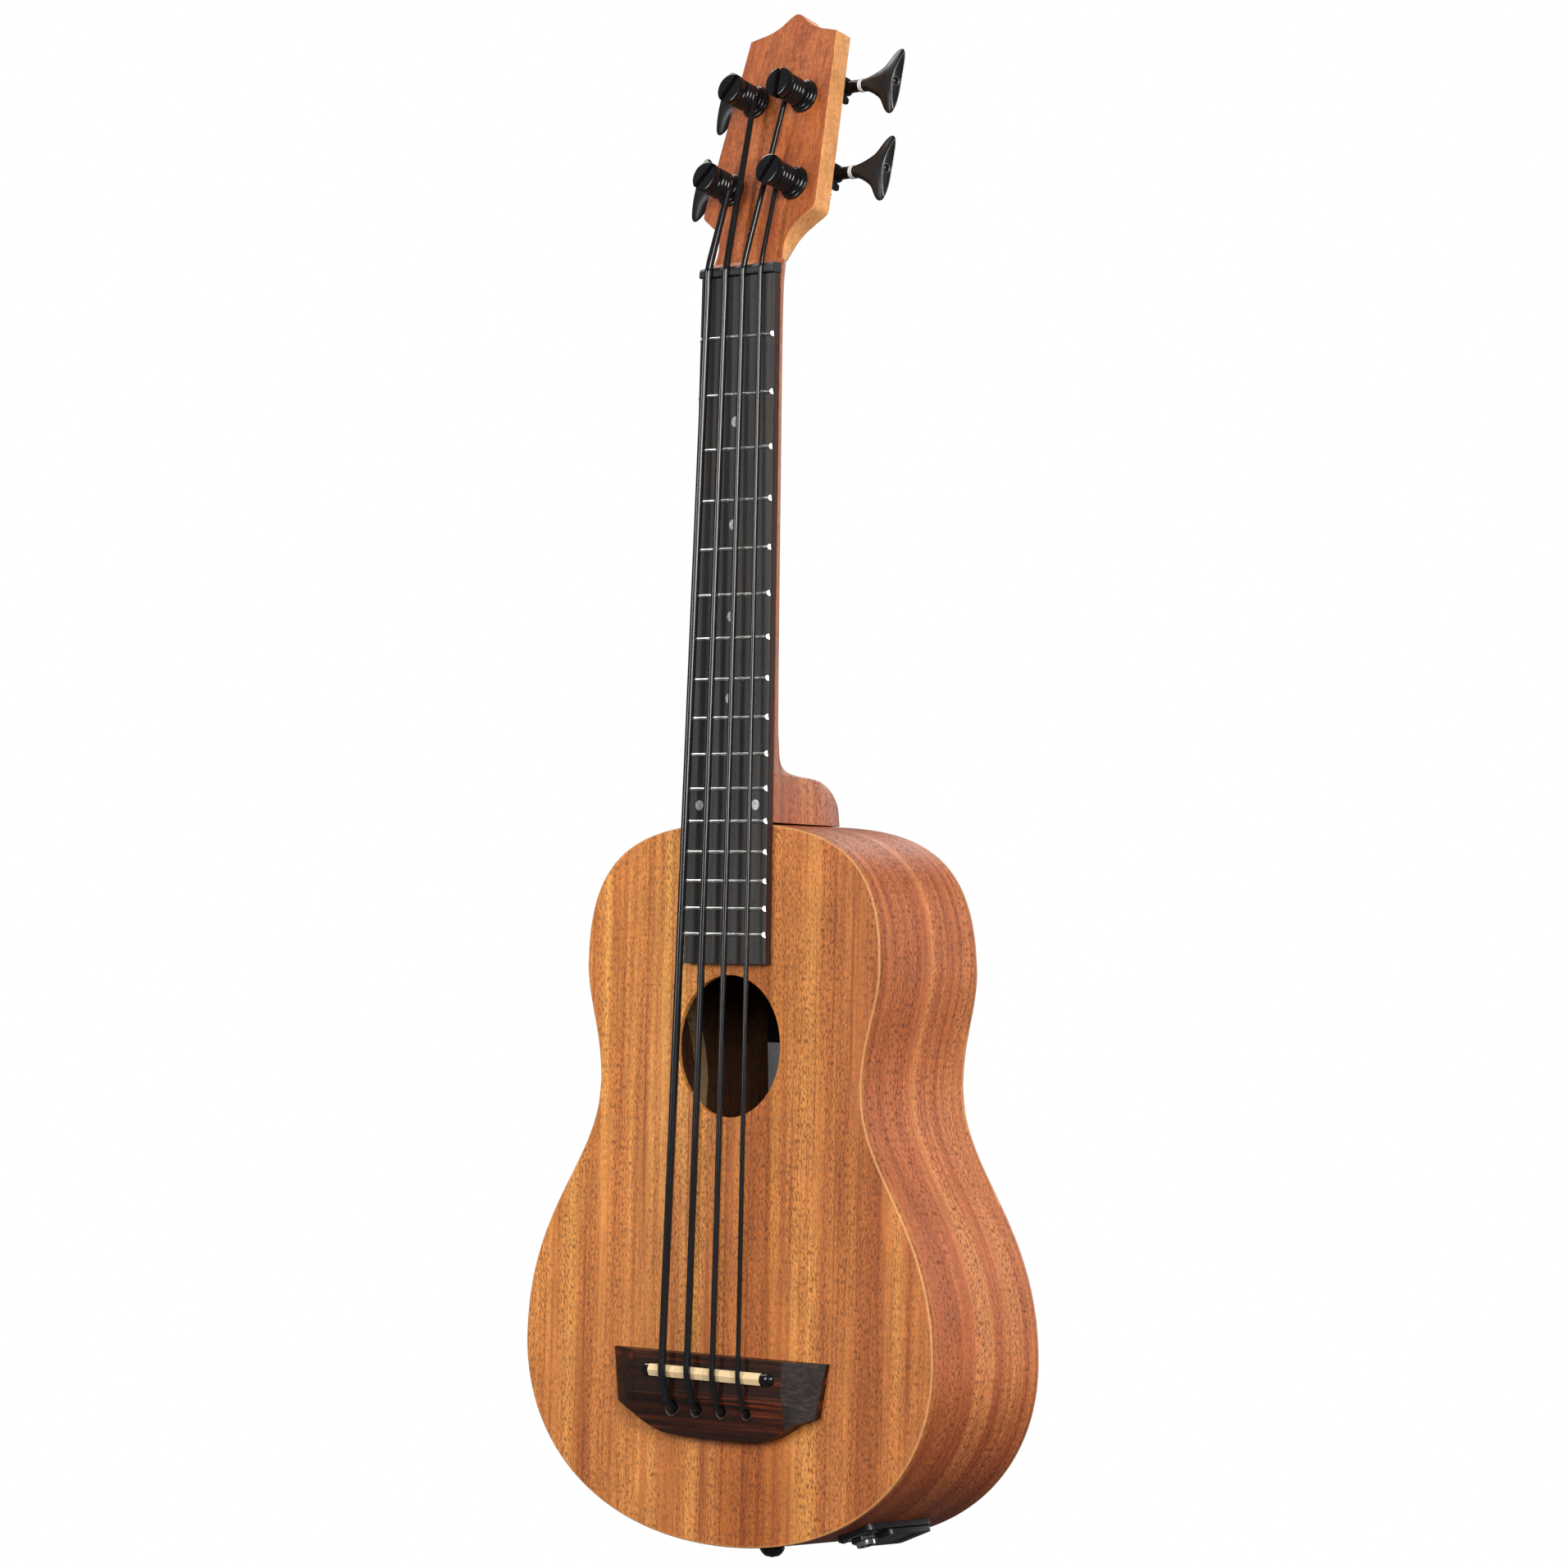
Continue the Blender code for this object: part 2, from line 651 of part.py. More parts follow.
def make_tuner(name, mats):
    """One open-gear tuner: its plate with ears and threaded bushing, its post with the gear, and its key."""
    place, side = tuner_place(name)
    forward = place @ Matrix.Rotation(math.pi / 2, 4, "X")
    back = HEAD_THICKNESS + GAP
    plate_top = back + 1.8 * MM
    corners = ((-10, -9), (-6, -13), (7.4, -13), (11.4, -9), (11.4, 14), (7.4, 18), (-6, 18), (-10, 14))
    outline = [(side * x * MM, z * MM) for x, z in corners]
    housing = prism(f"tuner_housing_{name}", outline, back, plate_top, mats["tuner_black"], "Y", place)
    sleeve = (
        (5.3 * MM, -plate_top + 0.5 * MM),
        (5.3 * MM, GAP),
        (8.25 * MM, GAP),
        (8.25 * MM, 1.2 * MM),
        (7.4 * MM, 2.8 * MM),
        (6.6 * MM, 3 * MM),
    )
    combine(housing, turned(f"add_sleeve_{name}", sleeve, forward, None, 16), "UNION")
    for label, centre, foot in (("inner", -7.5 * MM, 4.4 * MM), ("outer", 8.5 * MM, 8 * MM)):
        low = (side * centre - 1.25 * MM, plate_top - 0.5 * MM, KEY_RISE - foot)
        high = (side * centre + 1.25 * MM, KEY_DEPTH + 4.2 * MM, KEY_RISE + 4.4 * MM)
        combine(housing, box(f"add_ear_{label}_{name}", low, high, None, place), "UNION")
    bore = ((BORE_RADIUS, -30 * MM), (BORE_RADIUS, 10 * MM))
    combine(housing, turned(f"cut_bore_{name}", bore, forward, None, 16))
    across = place @ Matrix.Translation((0, KEY_DEPTH, KEY_RISE)) @ Matrix.Rotation(side * math.pi / 2, 4, "Y")
    shaft_hole = ((2.65 * MM, -12 * MM), (2.65 * MM, 12 * MM))
    combine(housing, turned(f"cut_shaft_{name}", shaft_hole, across, None, 12))
    make_post(name, forward, mats)
    make_key(name, across, mats)


def make_post(name, forward, mats):
    """The string post, turned in one piece with its gear disc, with a slot across its cap."""
    gear_back, gear_front = KEY_DEPTH + 2.4 * MM, KEY_DEPTH - 2.4 * MM
    profile = (
        (2.2 * MM, -gear_back - 1.2 * MM),
        (2.2 * MM, -gear_back),
        (7.6 * MM, -gear_back),
        (7.6 * MM, -gear_front),
        (3.6 * MM, -gear_front),
        (3.6 * MM, 3.3 * MM),
        (6.4 * MM, 3.4 * MM),
        (6.2 * MM, 4.2 * MM),
        (POST_WAIST, 5 * MM),
        (POST_WAIST, 15.6 * MM),
        (7.3 * MM, 16.2 * MM),
        (7.5 * MM, POST_HEIGHT - 0.4 * MM),
        (7.1 * MM, POST_HEIGHT),
    )
    post = turned(f"tuner_post_{name}", profile, forward, mats["tuner_black"], 16)
    turn = Matrix.Rotation(SLOT_TURNS[name], 4, "Z")
    low, high = (-10 * MM, -1.5 * MM, POST_HEIGHT - 3.9 * MM), (10 * MM, 1.5 * MM, POST_HEIGHT + 5 * MM)
    combine(post, box(f"cut_slot_{name}", low, high, None, forward @ turn))


SLOT_TURNS = {"e": math.radians(50), "a": math.radians(55), "d": math.radians(93), "g": math.radians(60)}


def make_key(name, across, mats):
    """The key: worm, shaft and a fishtail button with a notched end, about the shaft's axis."""
    steps = 12
    stem = (
        # distance from the post, radius
        (-9.5, 2.3),
        (-5.6, 2.3),
        (-5.5, 2.9),
        (5.5, 2.9),
        (5.6, 2.3),
        (10.4, 2.3),
        (10.5, 3.3),
        (20.5, 3.1),
    )
    button = (
        # distance from the post, half width, half thickness, notch depth
        (23, 3.4, 3.2, 0),
        (26, 4.3, 3.4, 0),
        (29.5, 5.9, 3.6, 0),
        (33, 8.3, 3.7, 0),
        (36.5, 11.9, 3.7, 0.3),
        (39.5, 15, 3.7, 1.1),
        (42, 16.7, 3.6, 2.0),
        (43.3, 16.4, 3.4, 2.5),
        (43.8, 15.6, 2.8, 2.7),
    )
    sections = [circle(radius * MM, x * MM, steps) for x, radius in stem]
    for x, wide, thick, notch in button:
        ring = []
        for point in circle(1, 0, steps):
            rise, out = point.x, point.y
            height = (x - notch * (1 - abs(rise))) * MM
            ring.append(Vector((rise * wide * MM, out * thick * MM, height)))
        sections.append(ring)
    loft(f"tuner_key_{name}", [[across @ p for p in ring] for ring in sections], mats["tuner_black"])


# ---------------------------------------------------------------- fittings


def make_strap_button(rib_bass, rib_treble, tail, mats):
    """The tail's strap button with its screw, through the rib seam into the tail block."""
    place = Matrix.Translation((0, 42 * MM, BODY_BOTTOM)) @ Matrix.Rotation(math.pi, 4, "X")
    profile = (
        (0.8 * MM, -20 * MM),
        (1.8 * MM, -17 * MM),
        (1.8 * MM, GAP),
        (5.2 * MM, GAP),
        (4.7 * MM, 1.2 * MM),
        (6 * MM, 2.5 * MM),
        (6.2 * MM, 3.2 * MM),
        (4.6 * MM, 5.9 * MM),
        (3.3 * MM, 7.6 * MM),
    )
    turned("strap_button", profile, place, mats["tuner_black"], 20)
    for target in (rib_bass, rib_treble, tail):
        ends = ((2.15 * MM, -25 * MM), (2.15 * MM, 3 * MM))
        combine(target, turned(f"cut_{target.name}_screw", ends, place, None, 12))


def rounded_rectangle(half_x, half_y, corner, centre_y=0.0):
    """A rectangle outline with cut corners rounded in three steps."""
    points = []
    for sx, sy, start in ((1, 1, 0), (-1, 1, 90), (-1, -1, 180), (1, -1, 270)):
        for k in range(4):
            angle = math.radians(start + 30 * k)
            x = sx * (half_x - corner) + corner * math.cos(angle)
            y = centre_y + sy * (half_y - corner) + corner * math.sin(angle)
            points.append((x, y))
    return points


def make_jack_module(rib, mats):
    """The jack plate on the lower treble side with the output jack and the pull-out battery drawer."""
    plate_low, plate_top = 0.5 * MM, 2.4 * MM
    drawer_half_x, drawer_half_y = 9.4 * MM, 14 * MM
    outline = rounded_rectangle(12 * MM, 22.5 * MM, 4 * MM)
    plate = prism("jack_plate", outline, plate_low, plate_top, mats["black_plastic"], "Z", JACK)
    window_low = (-drawer_half_x - GAP, DRAWER_Y - drawer_half_y - GAP, -60 * MM)
    window_high = (drawer_half_x + GAP, DRAWER_Y + drawer_half_y + GAP, 20 * MM)
    at_jack = JACK @ Matrix.Translation((0, JACK_Y, 0))
    for target in (plate, rib):
        combine(target, box(f"cut_{target.name}_drawer", window_low, window_high, None, JACK))
        hole = ((4.95 * MM, -10 * MM), (4.95 * MM, 10 * MM))
        combine(target, turned(f"cut_{target.name}_jack", hole, at_jack, None, 20))

    jack = (
        (6.6 * MM, -22 * MM),
        (6.6 * MM, -3.2 * MM),
        (4.6 * MM, -3.2 * MM),
        (4.6 * MM, plate_top + GAP),
        (6.2 * MM, plate_top + GAP),
        (6.2 * MM, 5 * MM),
        (4.6 * MM, 5.2 * MM),
        (4.6 * MM, 7.6 * MM),
        (3.5 * MM, 7.6 * MM),
        (3.5 * MM, -18 * MM),
        (2 * MM, -18 * MM),
        (2 * MM, -22 * MM),
    )
    turned("output_jack", jack, at_jack, mats["nickel"], 20, bored=True)

    door = rounded_rectangle(11 * MM, 14.5 * MM, 2.5 * MM, DRAWER_Y)
    drawer = prism("battery_drawer", door, plate_top + GAP, 5.4 * MM, mats["black_plastic"], "Z", JACK)
    tray_low = (-drawer_half_x, DRAWER_Y - drawer_half_y, -53 * MM)
    tray_high = (drawer_half_x, DRAWER_Y + drawer_half_y, plate_top + 0.5 * MM)
    combine(drawer, box("add_tray", tray_low, tray_high, None, JACK), "UNION")
    wall = 1 * MM
    well_low = (tray_low[0] + wall, tray_low[1] - 5 * MM, tray_low[2] + wall)
    well_high = (tray_high[0] + 5 * MM, tray_high[1] - wall, 1.6 * MM)
    combine(drawer, box("cut_tray", well_low, well_high, None, JACK))
    cell_low = (well_low[0] + GAP, tray_low[1] + 0.2 * MM, well_low[2] + GAP)
    cell_high = (drawer_half_x - 0.2 * MM, well_high[1] - GAP, cell_low[2] + 48.5 * MM)
    box("battery", cell_low, cell_high, mats["battery_case"], JACK)


def bass_strip(reach, outer_inset, inner_inset, stretch=1.0):
    """Cross sections along the bass side's outline round the panel, between two insets, stretched along Z."""
    outer, inner = inset_half(outer_inset), inset_half(inner_inset)
    kept = [i for i, (_, z) in enumerate(treble_outline()) if abs(z - PANEL_Z) <= reach]
    pairs = [(outer[i], inner[i]) for i in kept]
    return [tuple((x, PANEL_Z + (z - PANEL_Z) * stretch) for x, z in pair) for pair in pairs]


def strip_solid(name, strip, y_low, y_high, finish):
    """A solid from a strip's cross sections on the bass side."""
    sections = []
    for (ox, oz), (ix, iz) in strip:
        corners = ((ox, y_low, oz), (ox, y_high, oz), (ix, y_high, iz), (ix, y_low, iz))
        sections.append([Vector((-x, y, z)) for x, y, z in corners])
    return loft(name, sections, finish)


def make_preamp(rib, mats):
    """The controls on the upper bass side: a curved panel with its circuit box, two knobs and a button."""
    reach_z, reach_y = 29 * MM, 17 * MM
    cover = bass_strip(reach_z, -2.1 * MM, -GAP)
    panel = strip_solid("preamp_panel", cover, PANEL_Y - reach_y, PANEL_Y + reach_y, mats["black_plastic"])
    inner = bass_strip(reach_z, -1 * MM, 13 * MM, 0.86)
    block = strip_solid("add_circuit_box", inner, PANEL_Y - 13 * MM, PANEL_Y + 13 * MM, None)
    combine(panel, block, "UNION")
    window = bass_strip(reach_z, -5 * MM, 8 * MM, 0.89)
    opening = strip_solid("cut_preamp_window", window, PANEL_Y - 13.4 * MM, PANEL_Y + 13.4 * MM, None)
    combine(rib, opening)

    controls = (
        ("volume_knob", KNOB_OFFSET, 0, 7 * MM, 9.5 * MM),
        ("tone_knob", -KNOB_OFFSET, 0, 7 * MM, 9.5 * MM),
        ("tuner_button", 0, 9 * MM, 2.7 * MM, 4.6 * MM),
    )
    for name, rise, shift, radius, height in controls:
        centre = Matrix.Translation((PANEL_X, PANEL_Y + shift, PANEL_Z + rise))
        place = centre @ Matrix.Rotation(-math.pi / 2, 4, "Y")
        stem, foot, edge = min(radius, 3 * MM), 2.6 * MM, height - 0.6 * MM
        profile = ((stem, -7 * MM), (stem, foot), (radius, foot), (radius, edge), (radius * 0.9, height))
        turned(name, profile, place, mats["black_plastic"], 24)
        bore = ((stem + GAP, -9 * MM), (stem + GAP, 12 * MM))
        combine(panel, turned(f"cut_{name}", bore, place, None, 20))


# ---------------------------------------------------------------- assembly


def clear_scene():
    """Removes every object, so that the file holds the instrument only."""
    for old in list(bpy.data.objects):
        bpy.data.objects.remove(old, do_unlink=True)


def build():
    """Makes the whole instrument."""
    clear_scene()
    mats = make_materials()
    soundboard, rib_bass, rib_treble, tail, patch = make_body(mats)
    make_neck(mats)
    make_fingerboard(mats)
    for number in range(1, FRET_COUNT + 1):
        make_fret(number, mats)
    nut = make_nut(mats)
    bridge = make_bridge(mats)
    make_saddle(mats)
    make_strings(nut, bridge, soundboard, patch, mats)
    for name in STRING_NAMES:
        make_tuner(name, mats)
    make_strap_button(rib_bass, rib_treble, tail, mats)
    make_jack_module(rib_treble, mats)
    make_preamp(rib_bass, mats)


build()
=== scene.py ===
"""Looks for the bass ukulele: fine meshes, materials, a white studio and the camera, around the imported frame.

Everything is in the frame's own space, in metres: +Z runs up the neck, the front faces -Y, +X is the treble
side, and the origin is at the nut on the fingerboard's playing surface.
"""

import json
import math

import bmesh
import bpy
from mathutils import Matrix, Vector


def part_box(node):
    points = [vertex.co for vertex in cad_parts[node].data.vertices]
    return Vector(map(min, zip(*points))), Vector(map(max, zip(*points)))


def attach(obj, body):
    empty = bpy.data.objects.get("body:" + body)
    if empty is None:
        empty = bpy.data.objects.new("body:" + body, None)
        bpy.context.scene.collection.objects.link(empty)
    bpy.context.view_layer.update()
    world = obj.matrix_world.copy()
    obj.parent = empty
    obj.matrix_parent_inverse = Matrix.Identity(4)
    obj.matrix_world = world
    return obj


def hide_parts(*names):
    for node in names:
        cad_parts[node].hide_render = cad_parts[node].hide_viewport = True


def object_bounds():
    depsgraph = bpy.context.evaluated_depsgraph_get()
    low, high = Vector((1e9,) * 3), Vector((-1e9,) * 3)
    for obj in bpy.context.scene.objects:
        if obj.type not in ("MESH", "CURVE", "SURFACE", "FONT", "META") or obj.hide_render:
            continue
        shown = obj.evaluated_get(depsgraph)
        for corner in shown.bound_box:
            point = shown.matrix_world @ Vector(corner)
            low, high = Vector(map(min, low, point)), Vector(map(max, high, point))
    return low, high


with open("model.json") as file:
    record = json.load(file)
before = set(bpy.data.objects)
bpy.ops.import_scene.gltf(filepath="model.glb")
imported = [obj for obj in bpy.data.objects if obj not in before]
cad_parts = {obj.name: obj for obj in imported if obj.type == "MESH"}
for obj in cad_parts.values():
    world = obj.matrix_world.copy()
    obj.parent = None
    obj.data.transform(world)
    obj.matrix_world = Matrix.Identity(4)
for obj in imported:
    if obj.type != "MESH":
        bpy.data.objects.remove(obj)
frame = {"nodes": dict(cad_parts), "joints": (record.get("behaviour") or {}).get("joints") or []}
CAD_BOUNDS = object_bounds()
NODES = frame["nodes"]
JOINTS = {joint["name"]: joint for joint in frame["joints"]}

MM = 0.001
ROOT = "instrument"

# Neck and strings
SCALE_LENGTH = 528 * MM
FRET_COUNT = 16
NUT_WIDTH = 49 * MM
TWELFTH_WIDTH = 53.6 * MM
BOARD_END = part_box("fingerboard")[0].z
STRING_RADII = {"e": 1.95 * MM, "a": 1.7 * MM, "d": 1.45 * MM, "g": 1.18 * MM}
NUT_SPACING = 11.5 * MM
SADDLE_SPACING = 16.7 * MM
NUT_LENGTH = 4.8 * MM
NUT_RISE = 1.9 * MM

# Body
TOP_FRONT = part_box("soundboard")[0].y
TOP_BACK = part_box("soundboard")[1].y
SEAM = 0.05 * MM
PLATE = TOP_BACK - TOP_FRONT
RIB = 2 * MM
BODY_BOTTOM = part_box("soundboard")[0].z
BACK_DEPTH = 70.3 * MM
BACK_TAPER = 0.0375
BACK_RADIUS = 3600 * MM
DISH_CENTRE = -438 * MM
HOLE_RADIUS = 34.25 * MM
HOLE_Z = -372.3 * MM

# Bridge
SADDLE_Z = -529.4 * MM
HOLE_ROW_Z = -547.5 * MM
STEP_Z = -541.2 * MM
BRIDGE_TOP = TOP_FRONT - 10.2 * MM
SADDLE_CREST = TOP_FRONT - 13.6 * MM
BRIDGE_WING = 49.5 * MM
WING_SLOPE = 8.1 / 22
STEP_DROP = 0.9 * MM
LOWER_SLOPE = 3.7 / 20.8

# Headstock frame: y behind the face, z along it
TILT = math.radians(14)
FACE_OFFSET = 4.81 * MM
HEAD_THICKNESS = 11 * MM
HEAD = Matrix.Rotation(-TILT, 4, "X") @ Matrix.Translation((0, FACE_OFFSET, 0))
KEY_RISE = 11 * MM
KEY_DEPTH = 18.2 * MM
POST_HEIGHT = 20.4 * MM
POST_WAIST = 4 * MM
WRAP_HEIGHT = 7.2 * MM

# Electronics
JACK_NORMAL = math.radians(21.5)
JACK = Matrix.Translation((73 * MM, 42 * MM, -599.7 * MM)) @ Matrix.Rotation(math.pi - JACK_NORMAL, 4, "Y")
JACK_Y = -14.7 * MM
DRAWER_Y = 7 * MM
DRAWER_WINDOW = (9.5 * MM, 14.1 * MM)
# The floor is clear of the open drawer, which reaches below the body.
FLOOR_DROP = 45 * MM
DOOR_TOP = 5.4 * MM
PANEL_X = -98 * MM
PANEL_Y = 38 * MM
PANEL_Z = -333 * MM
KNOB_OFFSET = 13 * MM


# ---------------------------------------------------------------- material nodes


class Graph:
    """A material's node tree, with short ways to add nodes."""

    def __init__(self, name):
        self.material = bpy.data.materials.new(name)
        self.material.use_nodes = True
        self.tree = self.material.node_tree
        self.shader = self.tree.nodes["Principled BSDF"]

    def set(self, socket, value):
        """Links a socket to another, or gives it a constant."""
        if isinstance(value, bpy.types.NodeSocket):
            self.tree.links.new(value, socket)
        elif socket.type == "RGBA":
            socket.default_value = (*value[:3], 1)
        else:
            socket.default_value = value

    def add(self, kind, settings=None, **inputs):
        """Adds a node. Underscores in an input stand for spaces; a number after the last is an index."""
        made = self.tree.nodes.new("ShaderNode" + kind)
        for key, value in (settings or {}).items():
            setattr(made, key, value)
        for key, value in inputs.items():
            name = int(key[1:]) if key[0] == "_" else key.replace("_", " ")
            self.set(made.inputs[name], value)
        return made

    def finish(self, **inputs):
        """Sets the shader's inputs."""
        for key, value in inputs.items():
            self.set(self.shader.inputs[key.replace("_", " ")], value)
        return self.material

    def math(self, operation, a, b=0.0, clamp=False):
        return self.add("Math", {"operation": operation, "use_clamp": clamp}, _0=a, _1=b).outputs[0]

    def scaled(self, vector, scale, offset=(0, 0, 0)):
        return self.add("Mapping", None, Vector=vector, Scale=scale, Location=offset).outputs[0]

    def noise(self, vector, detail=2.0, roughness=0.5, distortion=0.0):
        made = self.add("TexNoise", None, Vector=vector, Scale=1.0, Detail=detail, Roughness=roughness)
        made.inputs["Distortion"].default_value = distortion
        return made.outputs["Fac"]

    def span(self, value, low, high, to_low=0.0, to_high=1.0):
        """Maps a range onto another, held at its ends."""
        made = self.add(
            "MapRange", None, Value=value, From_Min=low, From_Max=high, To_Min=to_low, To_Max=to_high
        )
        return made.outputs[0]

    def mix(self, share, a, b, blend="MIX"):
        made = self.add("Mix", {"data_type": "RGBA", "blend_type": blend})
        for index, value in ((0, share), (6, a), (7, b)):
            self.set(made.inputs[index], value)
        return made.outputs[2]

    def bump(self, height, strength, distance, before=None):
        made = self.add("Bump", None, Height=height, Strength=strength, Distance=distance)
        if before is not None:
            self.set(made.inputs["Normal"], before)
        return made.outputs[0]

    def place(self):
        return self.add("TexCoord").outputs["Object"]

    def stored(self, name):
        return self.add("Attribute", {"attribute_name": name}).outputs


def mahogany(
    name, light, mid, dark, figure=1.0, edge_tint=None, matched_halves_painted_light=False, darker_tail=False,
    pitted=0.72, gloss=0.35, relief=0.45,
):
    """Open-pore satin mahogany: ribbon stripes, fine streaks, mottle and short leaning dark pores.

    It follows the grain coordinates that each piece stores: across, through and along the grain.
    """
    g = Graph(name)
    grain = g.stored("grain")["Vector"]
    bands = g.noise(g.scaled(grain, (82, 82, 1.5)), 3.0, 0.58, 0.35)
    wide = g.noise(g.scaled(grain, (24, 24, 0.9), (3, 0, 0)), 1.5, 0.5, 0.2)
    streaks = g.noise(g.scaled(grain, (400, 400, 6)), 3.0, 0.65)
    fibre = g.noise(g.scaled(grain, (1500, 1500, 90)), 2.0, 0.6)
    mottle = g.noise(g.scaled(grain, (60, 60, 34), (1, 8, 3)), 3.0, 0.6)
    shimmer = g.noise(g.scaled(grain, (260, 260, 620)), 2.0, 0.6)

    ribbon = g.span(bands, 0.38, 0.62)
    tone = g.math("ADD", g.math("MULTIPLY", ribbon, 0.55), g.math("MULTIPLY", g.span(wide, 0.32, 0.68), 0.35))
    tone = g.math("ADD", tone, g.math("MULTIPLY", g.math("SUBTRACT", streaks, 0.46), 1.1), clamp=True)
    shaded = g.math("MULTIPLY", tone, figure, clamp=True)
    colour = g.mix(g.span(shaded, 0.0, 0.5), light, mid)
    colour = g.mix(g.span(shaded, 0.5, 1.0), colour, dark)
    colour = g.mix(g.span(streaks, 0.58, 0.70, 0.0, 0.45), colour, [c * 0.6 for c in dark])
    value = g.math("ADD", g.span(fibre, 0.25, 0.75, 0.84, 1.16), g.span(shimmer, 0.3, 0.7, -0.12, 0.12))
    value = g.math("ADD", value, g.span(mottle, 0.3, 0.7, -0.10, 0.10))
    grey = g.add("CombineColor", None, Red=value, Green=value, Blue=value).outputs[0]
    colour = g.mix(1.0, colour, grey, "MULTIPLY")

    pores = []
    parts = g.add("SeparateXYZ", None, Vector=grain).outputs
    for lean, offset in ((0.20, 0.0), (-0.14, 7.0)):
        across = g.math("ADD", parts[0], g.math("MULTIPLY", parts[2], lean))
        sheared = g.add("CombineXYZ", None, X=across, Y=parts[1], Z=parts[2]).outputs[0]
        cells = g.noise(g.scaled(sheared, (1150, 1150, 400), (offset, offset, 0)), 1.0, 0.5)
        pores.append(g.span(cells, 0.50, 0.60))
    leaning = g.mix(g.span(bands, 0.44, 0.56), pores[0], pores[1])
    crowd = g.noise(g.scaled(grain, (110, 110, 9), (11, 5, 2)), 2.0, 0.5)
    pore = g.math("MULTIPLY", leaning, g.span(crowd, 0.34, 0.56, 0.35, 1.0))
    colour = g.mix(g.math("MULTIPLY", pore, pitted), colour, [c * 0.36 for c in dark])
    side = g.add("SeparateXYZ", None, Vector=g.place()).outputs
    # Book-matched halves: the treble half is darker near the seam low down, and the bass half is lighter higher
    # up. This is partly the two halves' own tone and partly painted light and shade, following the light's fall
    # from the upper bass side to the lower treble side.
    if matched_halves_painted_light:
        treble = g.math(
            "MULTIPLY", g.math("GREATER_THAN", side[0], 0.0), g.span(side[0], 0.03, 0.075, 1.0, 0.0)
        )
        treble = g.math("MULTIPLY", treble, g.span(side[2], -0.60, -0.36, 1.0, 0.45))
        colour = g.mix(
            g.math("MULTIPLY", treble, 0.8), colour, g.mix(1.0, colour, (0.72, 0.54, 0.40), "MULTIPLY")
        )
        bass = g.math("MULTIPLY", g.math("LESS_THAN", side[0], 0.0), g.span(side[2], -0.56, -0.36, 0.05, 0.9))
        colour = g.mix(bass, colour, g.mix(1.0, colour, (1.22, 1.34, 1.2), "MULTIPLY"))
        seam = g.math("LESS_THAN", g.math("ABSOLUTE", side[0]), 0.12 * MM)
        colour = g.mix(g.math("MULTIPLY", seam, 0.5), colour, [c * 0.4 for c in dark])
    # Darker towards the tail end of the body: the colour is multiplied down below about z = -0.52 m.
    if darker_tail:
        tail = g.math("MULTIPLY", g.span(side[2], -0.605, -0.52, 1.0, 0.0), 1.0)
        colour = g.mix(tail, colour, g.mix(1.0, colour, (0.62, 0.36, 0.28), "MULTIPLY"))
    if edge_tint is not None:
        colour = g.mix(g.math("MULTIPLY", g.stored("edge")["Fac"], 0.45), colour, edge_tint)
    height = g.math("SUBTRACT", g.math("MULTIPLY", fibre, 0.3), pore)
    rough = g.span(pore, 0.0, 1.0, 0.44, 0.64)
    g.shader.inputs["Specular IOR Level"].default_value = gloss
    return g.finish(Base_Color=colour, Roughness=rough, Normal=g.bump(height, relief, 0.12 * MM))


def dark_wood(name, deep, brown, red, across_scale, roughness):
    """Ebonised or rosewood-like wood: near-black, with brown and red streaks and tiny pores."""
    g = Graph(name)
    grain = g.stored("grain")["Vector"]
    streaks = g.noise(g.scaled(grain, (across_scale, across_scale, 6)), 4.0, 0.62, 0.25)
    patches = g.noise(g.scaled(grain, (40, 40, 14), (2, 0, 5)), 2.0)
    fibre = g.noise(g.scaled(grain, (2600, 2600, 70)), 2.0)
    colour = g.mix(g.span(streaks, 0.42, 0.60), deep, brown)
    reds = g.math("MULTIPLY", g.span(streaks, 0.54, 0.68), g.span(patches, 0.42, 0.58))
    colour = g.mix(reds, colour, red)
    pores = g.span(g.noise(g.scaled(grain, (1500, 1500, 150), (4, 4, 0)), 1.0), 0.60, 0.70)
    colour = g.mix(g.math("MULTIPLY", pores, 0.6), colour, [c * 0.35 for c in deep])
    height = g.math("SUBTRACT", g.math("MULTIPLY", fibre, 0.5), pores)
    rough = g.span(fibre, 0.3, 0.7, roughness - 0.06, roughness + 0.08)
    g.shader.inputs["Specular IOR Level"].default_value = 0.28
    return g.finish(Base_Color=colour, Roughness=rough, Normal=g.bump(height, 0.3, 0.08 * MM))


def moulded(name, colour, roughness, metallic=0.0, speckle=4000, depth=0.004, gloss=0.5):
    """Painted metal or moulded plastic: an even colour with a fine surface and slightly varied gloss."""
    g = Graph(name)
    place = g.place()
    fine = g.noise(g.scaled(place, (speckle, speckle, speckle)), 2.0)
    smear = g.noise(g.scaled(place, (60, 60, 60)), 3.0)
    shade = g.mix(g.span(smear, 0.3, 0.7), [c * 0.82 for c in colour], [min(c * 1.18, 1) for c in colour])
    rough = g.span(smear, 0.3, 0.7, roughness * 0.8, roughness * 1.25)
    g.shader.inputs["Specular IOR Level"].default_value = gloss
    return g.finish(
        Base_Color=shade, Roughness=rough, Metallic=metallic, Normal=g.bump(fine, 0.25, depth * MM)
    )


def rubber(name, colour):
    """A smooth, slightly dusty rubber cord, with faint marks along it."""
    g = Graph(name)
    place = g.place()
    dust = g.noise(g.scaled(place, (150, 150, 9)), 2.0)
    shade = g.mix(g.span(dust, 0.45, 0.75, 0.0, 0.3), colour, [c * 1.6 + 0.002 for c in colour])
    rough = g.span(dust, 0.3, 0.7, 0.13, 0.18)
    return g.finish(Base_Color=shade, Roughness=rough)


